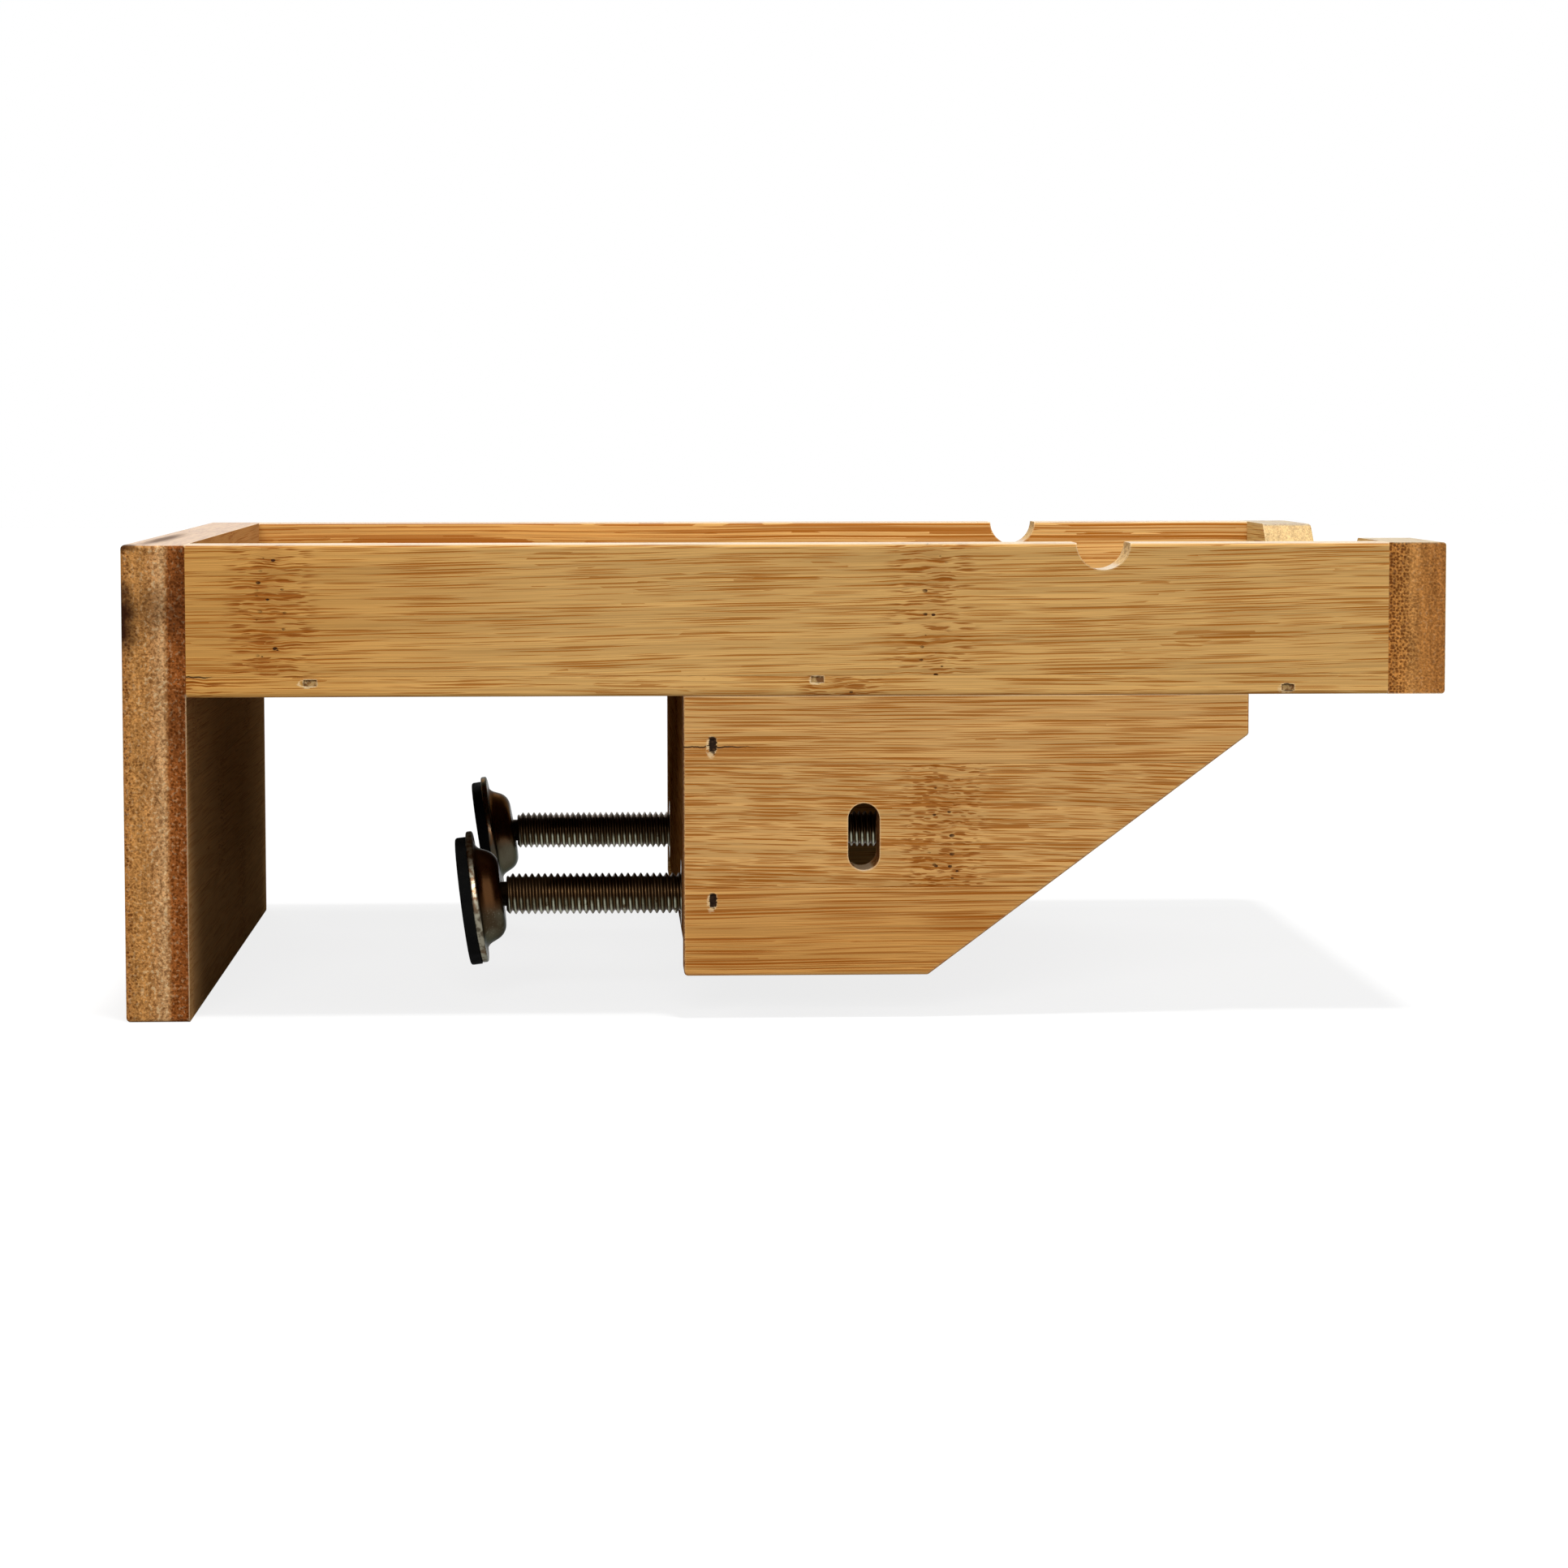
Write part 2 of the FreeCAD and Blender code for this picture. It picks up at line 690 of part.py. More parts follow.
def footRubber(side, x, y):
    """A rubber disc, glued on a little below the middle of the flange."""
    radius = f"({d.rubber_diameter} / 2)"
    body = turned(f"{side}_foot_rubber", "0", "0", "0", [
        ("0", "0"),
        (d.rubber_thickness, "0"),
        (d.rubber_thickness, radius),
        ("0", radius),
    ])
    fillet(body, "edge", d.rubber_edge,
           lambda e: ring(e, value("rubber_diameter") / 2, 0))
    behind = f"({footDepth} - {d.foot_wall} / 2 + {d.rubber_thickness})"
    drooped(body, side, x, y, behind, d.rubber_off_centre)
    keep(body, f"{side}_foot_rubber")


for side, y, reach in (
    ("near", f"({nearFace} + {d.board_thickness} + {d.screw_inset})", d.near_foot_reach),
    ("far", f"({farFace} - {d.board_thickness} - {d.screw_inset})", d.far_foot_reach),
):
    pivot = f"({bracketBack} - {reach})"
    bush(side, y)
    screw(side, pivot, y)
    tommyBar(side, pivot, y)
    washer(side, pivot, y)
    footCup(side, pivot, y)
    footRubber(side, pivot, y)

doc.recompute()

# Nothing is written unless every object is sound

for thing in doc.Objects:
    if "Invalid" in thing.State or "Error" in thing.State:
        raise ValueError(f"{thing.Label} failed: {thing.State}")
for node in nodes:
    if node.Shape.isNull() or not node.Shape.isValid() or not node.Shape.Solids:
        raise ValueError(f"{node.Label} has no valid solid")

os.makedirs("parts", exist_ok=True)
for node in nodes:
    node.Shape.exportStep(f"parts/{node.Label}.step")
    print(node.Label, len(node.Shape.Solids), round(node.Shape.Volume, 1))
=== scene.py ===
import math
import bmesh
import bpy
from mathutils import Matrix, Vector


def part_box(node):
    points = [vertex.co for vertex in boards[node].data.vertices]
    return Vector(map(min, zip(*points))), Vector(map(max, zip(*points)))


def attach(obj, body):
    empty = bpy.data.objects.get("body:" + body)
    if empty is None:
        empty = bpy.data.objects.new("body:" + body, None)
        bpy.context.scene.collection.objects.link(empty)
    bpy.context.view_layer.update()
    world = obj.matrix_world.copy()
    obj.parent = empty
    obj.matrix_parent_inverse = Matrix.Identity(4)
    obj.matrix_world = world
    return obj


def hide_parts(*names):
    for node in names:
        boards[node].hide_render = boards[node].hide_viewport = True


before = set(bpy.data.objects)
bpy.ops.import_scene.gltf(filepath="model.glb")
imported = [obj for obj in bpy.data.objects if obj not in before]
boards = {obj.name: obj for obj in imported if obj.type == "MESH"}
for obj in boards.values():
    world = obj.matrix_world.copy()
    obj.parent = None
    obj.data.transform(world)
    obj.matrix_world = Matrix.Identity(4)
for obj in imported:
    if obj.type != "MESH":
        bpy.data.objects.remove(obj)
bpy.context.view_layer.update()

# Bamboo shelf that clips on a bed rail. +X runs from the hook plate to the front board, +Y to the
# far side and +Z up. Lengths are in metres where no note says mm, and mm is one millimetre in metres.
mm = 0.001
scene = bpy.context.scene
print("frame:", len(boards), "nodes")


# Short ways to wire a shader

def feed(tree, socket, source):
    # a source is another node's output or a plain value
    if isinstance(source, bpy.types.NodeSocket):
        tree.links.new(source, socket)
    else:
        socket.default_value = source


def calc(tree, operation, *sources):
    node = tree.nodes.new("ShaderNodeMath")
    node.operation = operation
    for socket, source in zip(node.inputs, sources):
        feed(tree, socket, source)
    return node.outputs[0]


def vectorCalc(tree, operation, *sources):
    node = tree.nodes.new("ShaderNodeVectorMath")
    node.operation = operation
    for socket, source in zip(node.inputs, sources):
        feed(tree, socket, source)
    return node.outputs["Value" if operation in ("DOT_PRODUCT", "LENGTH") else "Vector"]


def total(tree, *sources):
    # adds several sources up
    result = sources[0]
    for source in sources[1:]:
        result = calc(tree, "ADD", result, source)
    return result


def times(tree, *sources):
    result = sources[0]
    for source in sources[1:]:
        result = calc(tree, "MULTIPLY", result, source)
    return result


def inMm(tree, length):
    return calc(tree, "DIVIDE", length, mm)


def apart(tree, first, second):
    return calc(tree, "ABSOLUTE", calc(tree, "SUBTRACT", first, second))


def swing(tree, noise, *amounts):
    # a noise that swings both ways about zero, by half of each amount
    return times(tree, calc(tree, "SUBTRACT", noise, 0.5), *amounts)


def fade(tree, value, low, high, start=0.0, end=1.0):
    node = tree.nodes.new("ShaderNodeMapRange")
    node.interpolation_type = "SMOOTHSTEP"
    for socket, source in zip(node.inputs, (value, low, high, start, end)):
        feed(tree, socket, source)
    return node.outputs[0]


def tint(tree, amount, first, second, mode="MIX"):
    node = tree.nodes.new("ShaderNodeMix")
    node.data_type = "RGBA"
    node.blend_type = mode
    colours = [socket for socket in node.inputs if socket.type == "RGBA"]
    feed(tree, node.inputs[0], amount)
    feed(tree, colours[0], first)
    feed(tree, colours[1], second)
    return [socket for socket in node.outputs if socket.type == "RGBA"][0]


def point(tree, along, across, through):
    node = tree.nodes.new("ShaderNodeCombineXYZ")
    for socket, source in zip(node.inputs, (along, across, through)):
        feed(tree, socket, source)
    return node.outputs[0]


def split(tree, vector):
    node = tree.nodes.new("ShaderNodeSeparateXYZ")
    feed(tree, node.inputs[0], vector)
    return dict(zip("XYZ", node.outputs))


def cloud(tree, place, scale=1.0, detail=2.0):
    node = tree.nodes.new("ShaderNodeTexNoise")
    feed(tree, node.inputs["Vector"], place)
    feed(tree, node.inputs["Scale"], scale)
    node.inputs["Detail"].default_value = detail
    return node.outputs[0]


def cells(tree, place, scale=1.0, scatter=1.0):
    # the distance to the middle of each cell, and a number that differs from cell to cell
    node = tree.nodes.new("ShaderNodeTexVoronoi")
    feed(tree, node.inputs["Vector"], place)
    feed(tree, node.inputs["Scale"], scale)
    node.inputs["Randomness"].default_value = scatter
    return node.outputs["Distance"], split(tree, node.outputs["Color"])["X"]


def newGroup(name, inputs, outputs):
    tree = bpy.data.node_groups.new(name, "ShaderNodeTree")
    for label, kind, default in inputs:
        socket = tree.interface.new_socket(name=label, in_out="INPUT", socket_type="NodeSocket" + kind)
        socket.default_value = default
    for label, kind in outputs:
        tree.interface.new_socket(name=label, in_out="OUTPUT", socket_type="NodeSocket" + kind)
    return tree, tree.nodes.new("NodeGroupInput").outputs, tree.nodes.new("NodeGroupOutput").inputs


def useGroup(tree, group, **values):
    node = tree.nodes.new("ShaderNodeGroup")
    node.node_tree = group
    for label, source in values.items():
        feed(tree, node.inputs[label], source)
    return node.outputs


# Bamboo: node groups for its faces, sawn ends, worn edges with a painted edge highlight, brad marks, cracks,
# tones and painted light on upward faces

bamboo = {
    "pale": (0.560, 0.330, 0.110, 1),
    "fibre": (0.290, 0.088, 0.003, 1),
    "knot": (0.235, 0.066, 0.003, 1),
    "pit": (0.040, 0.014, 0.004, 1),
    "seam": (0.200, 0.075, 0.016, 1),
    "vessel": (0.095, 0.023, 0.003, 1),
    "crack": (0.030, 0.013, 0.005, 1),
    "cut": (0.600, 0.400, 0.180, 1),
    "burn": (0.030, 0.009, 0.004, 1),
    "wornAndLit": (0.800, 0.620, 0.370, 1),
    "warm": (0.930, 0.820, 0.640, 1),
    "splinter": (0.700, 0.520, 0.290, 1),
}
stripCount = 4
knotSpacing = 124.4
noSeam = 1000.0
faceSeedStep, endSeedStep = 7.0, 3.0  # between the patterns of one board and the next

# The faces' pattern, in mm. Silk, bands and flock are noises: scale along the grain, scale across it
# and detail. Dashes are separate streaks: the share of a strip's streak length that they take, their
# pitch across the grain, a shift that keeps two sets apart, and their width from thin to thick.
faceLook = {
    "silk": (0.03, 4.6, 3.0), "bands": (0.006, 0.5, 2.0), "flock": (0.035, 0.16, 2.0),
    "streak": {"share": 1.0, "pitch": 0.37, "shift": 0.0, "thin": 0.14, "thick": 0.52},
    "second": {"share": 0.5, "pitch": 0.28, "shift": 5.3, "thin": 0.06, "thick": 0.50},
    "knotDash": {"share": 0.17, "pitch": 0.42, "shift": 9.1, "thin": 0.24, "thick": 0.60},
    "dashEdge": 0.66, "knotRagged": 7.0, "knotCore": (0.8, 3.6), "knotFall": (0.022, 0.0028),
    "pitScale": 0.62, "pitEdge": (0.04, 0.10), "pitGrowth": 0.13, "seamEdge": (0.04, 0.17), "drift": 2.2,
    "swerve": 1.5,
    "strength": {"streak": 0.80, "second": 0.62, "knotDash": 0.82, "knotCore": 0.14, "seam": 0.4},
    "relief": {"silk": 0.4, "streak": -0.25, "knotDash": -0.35, "pit": -1.6, "seam": -0.8},
}


def bambooFaceGroup():
    # the long faces: fibres along the grain, glued strips across it, a knot band in each strip
    look = faceLook
    inputs = [(label, "Float", 0) for label in ("Along", "Across", "Through", "Seed", "Crowding")]
    inputs += [("Knot Spacing", "Float", knotSpacing), ("Knot Weight", "Float", 1.0)]
    inputs += [(f"Seam {n}", "Float", noSeam) for n in range(1, stripCount)]
    for label, default in (("Knot", 0.0), ("Streak", 50.0), ("Lean", 0.0)):
        inputs += [(f"{label} {n}", "Float", default) for n in range(1, stripCount + 1)]
    tree, given, out = newGroup("bambooFace", inputs, [("Color", "Color"), ("Height", "Float")])
    along, across, through = (inMm(tree, given[axis]) for axis in ("Along", "Across", "Through"))

    # which strip this is, and that strip's own knot, streaks and lean
    strip, seam = given["Seed"], noSeam
    own = {label: given[f"{label} 1"] for label in ("Knot", "Streak", "Lean")}
    for n in range(1, stripCount):
        past = calc(tree, "GREATER_THAN", across, given[f"Seam {n}"])
        strip = calc(tree, "ADD", strip, past)
        for label, value in own.items():
            step = calc(tree, "SUBTRACT", given[f"{label} {n + 1}"], given[f"{label} {n}"])
            own[label] = total(tree, value, times(tree, past, step))
        seam = calc(tree, "MINIMUM", seam, apart(tree, across, given[f"Seam {n}"]))
    gaps = cloud(tree, point(tree, times(tree, along, 0.2), strip, 0.0), 1.0, 3.0)
    seamLine = fade(tree, seam, *look["seamEdge"], 1.0, 0.0)
    seamLine = times(tree, seamLine, fade(tree, gaps, 0.35, 0.65, 0.25, 1.0))
    chance = tree.nodes.new("ShaderNodeTexWhiteNoise")
    chance.noise_dimensions = "1D"
    feed(tree, chance.inputs["W"], strip)

    # how far off the strip's nearest knot lies, with a ragged edge
    half = calc(tree, "DIVIDE", given["Knot Spacing"], 2.0)
    off = calc(tree, "WRAP", calc(tree, "SUBTRACT", along, own["Knot"]), half, times(tree, half, -1.0))
    ragged = cloud(tree, point(tree, strip, times(tree, across, 0.55), 3.0), 1.0, 3.0)
    off = total(tree, off, swing(tree, ragged, look["knotRagged"]))
    farOff = calc(tree, "POWER", calc(tree, "ABSOLUTE", off), 2.0)
    nearness, wide = (times(tree, calc(tree, "EXPONENT", times(tree, farOff, -fall)), given["Knot Weight"])
                      for fall in look["knotFall"])

    # fibres run straight, lean a little in each strip and swerve slightly at the knots
    drift = cloud(tree, point(tree, times(tree, along, 0.012), times(tree, across, 0.03), strip))
    swerve = cloud(tree, point(tree, times(tree, off, 0.16), times(tree, across, 0.5), strip))
    fibreAcross = total(tree, across, swing(tree, drift, look["drift"]),
                        swing(tree, swerve, nearness, look["swerve"]), times(tree, along, own["Lean"], -1.0))
    deep = total(tree, through, times(tree, strip, 17.3))

    def lines(alongScale, acrossScale, detail):
        return cloud(tree, point(tree, times(tree, along, alongScale), times(tree, fibreAcross, acrossScale),
                                 times(tree, deep, acrossScale)), 1.0, detail)

    def dashes(kind, crowd):
        # separate tapering streaks, each as wide as its own number says
        dash, spread = look[kind], 1.0 / look[kind]["pitch"]
        length = times(tree, own["Streak"], dash["share"])
        place = point(tree, total(tree, calc(tree, "DIVIDE", along, length), dash["shift"]),
                      times(tree, fibreAcross, spread), total(tree, times(tree, deep, spread), dash["shift"]))
        distance, number = cells(tree, place)
        thin, thick = (total(tree, dash[end], crowd) for end in ("thin", "thick"))
        width = fade(tree, number, 0.0, 1.0, thin, thick)
        return fade(tree, calc(tree, "DIVIDE", distance, width), look["dashEdge"], 1.0, 1.0, 0.0)

    silk, bands, flock = (lines(*look[kind]) for kind in ("silk", "bands", "flock"))
    crowd = total(tree, given["Crowding"], times(tree, wide, 0.07), swing(tree, flock, 0.45))
    streak, second = dashes("streak", crowd), dashes("second", crowd)
    knotDash = times(tree, dashes("knotDash", 0.0), fade(tree, nearness, 0.08, 0.45))
    core = fade(tree, calc(tree, "ABSOLUTE", off), *look["knotCore"], 1.0, 0.0)
    knotCore = times(tree, core, given["Knot Weight"])
    pitPlace = point(tree, times(tree, along, look["pitScale"]), across, deep)
    pitAway, pitSize = cells(tree, pitPlace, look["pitScale"])
    pitAway = calc(tree, "SUBTRACT", pitAway, times(tree, pitSize, look["pitGrowth"]))
    pit = times(tree, fade(tree, pitAway, *look["pitEdge"], 1.0, 0.0), knotCore)

    level = fade(tree, bands, 0.3, 0.7, 0.90, 1.07)
    level = times(tree, level, fade(tree, silk, 0.34, 0.66, 0.83, 1.10),
                  total(tree, 0.97, times(tree, chance.outputs["Value"], 0.06)))
    colour = tint(tree, 1.0, bamboo["pale"], point(tree, level, level, level), "MULTIPLY")
    masks = {"streak": streak, "second": second, "knotDash": knotDash, "knotCore": knotCore, "seam": seamLine}
    for kind, tone in (("streak", "fibre"), ("second", "fibre"), ("knotDash", "knot"), ("knotCore", "knot"),
                       ("seam", "seam")):
        colour = tint(tree, times(tree, masks[kind], look["strength"][kind]), colour, bamboo[tone])
    feed(tree, out["Color"], tint(tree, pit, colour, bamboo["pit"]))
    masks.update({"silk": silk, "pit": pit})
    rises = [times(tree, masks[kind], rise) for kind, rise in look["relief"].items()]
    feed(tree, out["Height"], total(tree, *rises))
    return tree


def bambooEndGroup():
    # the sawn ends: dark vessel dots on the board's own colour, bigger and closer where Weight is high
    tree, given, out = newGroup(
        "bambooEnd", [("Across", "Float", 0), ("Through", "Float", 0), ("Seed", "Float", 0),
                      ("Base", "Color", (0.4, 0.2, 0.06, 1)), ("Weight", "Float", 0.5), ("Torn", "Float", 1.0)],
        [("Color", "Color"), ("Height", "Float")])
    across, through = (inMm(tree, given[axis]) for axis in ("Across", "Through"))
    place = point(tree, across, through, given["Seed"])
    patch = point(tree, times(tree, across, 0.09), times(tree, through, 0.45), given["Seed"])
    patch = cloud(tree, patch, 1.0, 3.0)
    weight = fade(tree, total(tree, given["Weight"], swing(tree, patch, 0.9)), 0.0, 1.0)

    def dots(scale, scatter, growth, core, rim):
        away, number = cells(tree, place, scale, scatter)
        return fade(tree, total(tree, away, times(tree, number, -growth)), core, rim, 1.0, 0.0)

    bigDots = times(tree, dots(1.55, 0.7, 0.14, 0.24, 0.46), weight)
    smallDots = times(tree, dots(3.1, 0.9, 0.15, 0.18, 0.42), fade(tree, weight, 0.0, 1.0, 0.30, 0.75))
    grit = cloud(tree, place, 2.6, 4.0)
    torn = cloud(tree, point(tree, across, through, total(tree, given["Seed"], 4.0)), 1.3, 5.0)
    bare = times(tree, fade(tree, weight, 0.15, 0.6, 1.0, 0.42), given["Torn"])
    sparkle = times(tree, fade(tree, torn, 0.55, 0.63), bare)
    crevice = times(tree, fade(tree, torn, 0.46, 0.39), bare)
    level = times(tree, fade(tree, grit, 0.25, 0.75, 0.62, 1.34), fade(tree, patch, 0.3, 0.7, 1.12, 0.84))
    colour = tint(tree, 1.0, given["Base"], point(tree, level, level, level), "MULTIPLY")
    for mask, strength, tone in ((bigDots, 0.80, "vessel"), (smallDots, 0.50, "vessel"),
                                 (crevice, 0.50, "vessel"), (sparkle, 0.42, "splinter")):
        colour = tint(tree, times(tree, mask, strength), colour, bamboo[tone])
    feed(tree, out["Color"], colour)
    rises = ((grit, 1.3), (bigDots, -0.6), (crevice, -0.8), (sparkle, 0.7))
    feed(tree, out["Height"], total(tree, *(times(tree, mask, rise) for mask, rise in rises)))
    return tree


def wavyLayerGroup():
    # the glued layers of a sawn end waver a little along it
    tree, given, out = newGroup(
        "wavyLayer", [(label, "Float", 0) for label in ("Across", "Through", "Seed")], [("Through", "Float")])
    wobble = cloud(tree, point(tree, times(tree, given["Across"], 140.0), given["Seed"], 0.0), 1.0, 3.0)
    feed(tree, out["Through"], total(tree, given["Through"], swing(tree, wobble, 1.6 * mm)))
    return tree


def sandedCutGroup():
    # a notch or scoop is cut and sanded, so the end grain within Limit of the middle is pale and smooth
    tree, given, out = newGroup(
        "sandedCut", [("Along", "Float", 0), ("Limit", "Float", 100.0), ("Color", "Color", bamboo["cut"]),
                      ("Weight", "Float", 0.5)], [("Color", "Color"), ("Weight", "Float")])
    away = calc(tree, "ABSOLUTE", inMm(tree, given["Along"]))
    rough = fade(tree, away, given["Limit"], total(tree, given["Limit"], 1.0))
    feed(tree, out["Color"], tint(tree, rough, bamboo["cut"], given["Color"]))
    feed(tree, out["Weight"], times(tree, given["Weight"], rough))
    return tree


def paintedTopLightGroup():
    # painted light: upward faces are tinted toward a given tone, by default pale, as a painted sheen
    tree, given, out = newGroup(
        "paintedTopLight", [("Color", "Color", bamboo["pale"]), ("Up", "Float", 0),
                      ("Tone", "Color", bamboo["wornAndLit"])], [("Color", "Color")])
    topSheen = times(tree, fade(tree, given["Up"], 0.6, 0.95), 0.55)
    feed(tree, out["Color"], tint(tree, topSheen, given["Color"], given["Tone"]))
    return tree


def wornAndLitEdgeGroup():
    # where the surface turns within a short way, the finish is marked to be rubbed pale and to take a painted
    # edge highlight
    tree, given, out = newGroup("wornAndLitEdge", [("Reach", "Float", 0.5 * mm)], [("Mask", "Float")])
    rounded = tree.nodes.new("ShaderNodeBevel")
    rounded.samples = 4
    feed(tree, rounded.inputs["Radius"], given["Reach"])
    surface = tree.nodes.new("ShaderNodeNewGeometry")
    turn = vectorCalc(tree, "DOT_PRODUCT", rounded.outputs[0], surface.outputs["Normal"])
    feed(tree, out["Mask"], fade(tree, turn, 0.985, 0.90))
    return tree


def bradMarkGroup():
    # the wood round a brad: dark torn fibres and a few pale splinters, longer along the grain
    tree, given, out = newGroup(
        "bradMark", [(label, "Float", 0) for label in ("Along", "Across", "Brad Along", "Brad Across")]
        + [("Wide", "Float", 1.0), ("Tall", "Float", 1.0)], [("Dark", "Float"), ("Pale", "Float")])
    dx = calc(tree, "SUBTRACT", inMm(tree, given["Along"]), given["Brad Along"])
    dz = calc(tree, "SUBTRACT", inMm(tree, given["Across"]), given["Brad Across"])
    tear = cloud(tree, point(tree, times(tree, dx, 0.9), times(tree, dz, 2.0), given["Brad Along"]), 1.0, 3.0)
    aside, above = calc(tree, "DIVIDE", dx, given["Wide"]), calc(tree, "DIVIDE", dz, given["Tall"])
    reach = calc(tree, "SQRT", total(tree, calc(tree, "POWER", aside, 2.0), calc(tree, "POWER", above, 2.0)))
    reach = total(tree, reach, swing(tree, tear, 1.2))
    feed(tree, out["Dark"], fade(tree, reach, 0.80, 1.10, 1.0, 0.0))
    shifted = total(tree, reach, times(tree, aside, 0.26), times(tree, above, 0.16))
    feed(tree, out["Pale"], times(tree, fade(tree, shifted, 1.05, 1.3, 1.0, 0.0), fade(tree, tear, 0.40, 0.52)))
    return tree


def crackOpeningGroup():
    # a fine crack along the grain, widest at its start and wavering
    labels = ("Along", "Across", "From", "To", "Level", "Half")
    tree, given, out = newGroup("crackOpening", [(label, "Float", 0) for label in labels], [("Mask", "Float")])
    along, across = (inMm(tree, given[axis]) for axis in ("Along", "Across"))
    waver = swing(tree, cloud(tree, times(tree, along, 0.35), 1.0, 4.0))
    gap = calc(tree, "ABSOLUTE", total(tree, calc(tree, "SUBTRACT", across, given["Level"]), waver))
    middle = times(tree, total(tree, given["From"], given["To"]), 0.5)
    taper = times(tree, fade(tree, along, total(tree, given["From"], -1.0), given["From"]),
                  fade(tree, along, middle, given["To"], 1.0, 0.0))
    opening = fade(tree, calc(tree, "SUBTRACT", gap, times(tree, taper, given["Half"])), -0.08, 0.05, 1.0, 0.0)
    feed(tree, out["Mask"], times(tree, opening, fade(tree, taper, 0.02, 0.2)))
    return tree


def trayJointGroup():
    # the upright edges where one tray board lies against another, which get neither wear nor the painted edge
    # highlight
    tree, given, out = newGroup(
        "trayJoint", [("Place", "Vector", (0, 0, 0)), ("Facing", "Vector", (0, 0, 0)), ("At", "Float", 0)],
        [("Mask", "Float")])
    place, facing = split(tree, given["Place"]), split(tree, given["Facing"])
    x, z = (inMm(tree, place[axis]) for axis in "XZ")
    beside = fade(tree, apart(tree, x, given["At"]), 0.6, 1.1, 1.0, 0.0)
    upright = fade(tree, calc(tree, "ABSOLUTE", facing["Z"]), 0.3, 0.6, 1.0, 0.0)
    feed(tree, out["Mask"], times(tree, beside, upright, fade(tree, z, trayBottom, trayBottom + 1.0)))
    return tree


def warmToneGroup():
    # a board that turns more orange toward one side
    tree, given, out = newGroup(
        "warmTone", [("Color", "Color", bamboo["pale"]), ("At", "Float", 0), ("From", "Float", 0),
                     ("To", "Float", 1)], [("Color", "Color")])
    warmth = fade(tree, inMm(tree, given["At"]), given["From"], given["To"])
    orange = tint(tree, 1.0, given["Color"], bamboo["warm"], "MULTIPLY")
    feed(tree, out["Color"], tint(tree, warmth, given["Color"], orange))
    return tree


trayBottom = 61.3
faceGroup, endGroup, edgeGroup, bradMark = bambooFaceGroup(), bambooEndGroup(), wornAndLitEdgeGroup(), bradMarkGroup()
layerGroup, crackGroup, jointGroup = wavyLayerGroup(), crackOpeningGroup(), trayJointGroup()
warmGroup, cutGroup, topGroup = warmToneGroup(), sandedCutGroup(), paintedTopLightGroup()

# Each board: its grain, the way its strips lie, and the seams, knots, streak lengths and lean of the
# strips, from the lowest up. Tone is multiplied with its colour and shine is its specular level, where
# it isn't boardShine. Crowding adds to the streaks, knotSpacing is the way from knot to knot and
# knotWeight how plain they are. Top is the tone that its upward faces are tinted toward, as painted
# light: a pale sheen on most boards, a darker grey on the front board. Plain is the tone that its face
# toward the bed rail is evened to, as painted shade, and how much. Ends are (place, colour, dot weight)
# from one side of its sawn end to the other, torn says how rough it is, and end grain within cutWithin
# of the middle is sanded. Burns are (place, reach along X, Y and Z, strength), cracks (from, to, height,
# half width), brads (along, across, half width, half height, dark, pale) and joints the planes across X
# where two boards of the tray meet. Warm is where a board turns more orange: the axis, and where that
# starts and ends. All in mm.
boardShine = 0.03
railBrads = ((-89.8, 64.0, 1.5, 0.7, 0.45, 0.9), (5.6, 64.4, 1.0, 0.75, 0.50, 0.8),
             (94.9, 62.6, 1.2, 0.85, 0.95, 0.5))
bracketBrads = ((-14.2, 52.1, 0.8, 1.8, 1.0, 0.7), (-14.2, 22.5, 0.75, 1.6, 1.0, 0.6))
trayJoints = (-113.0, 114.0)
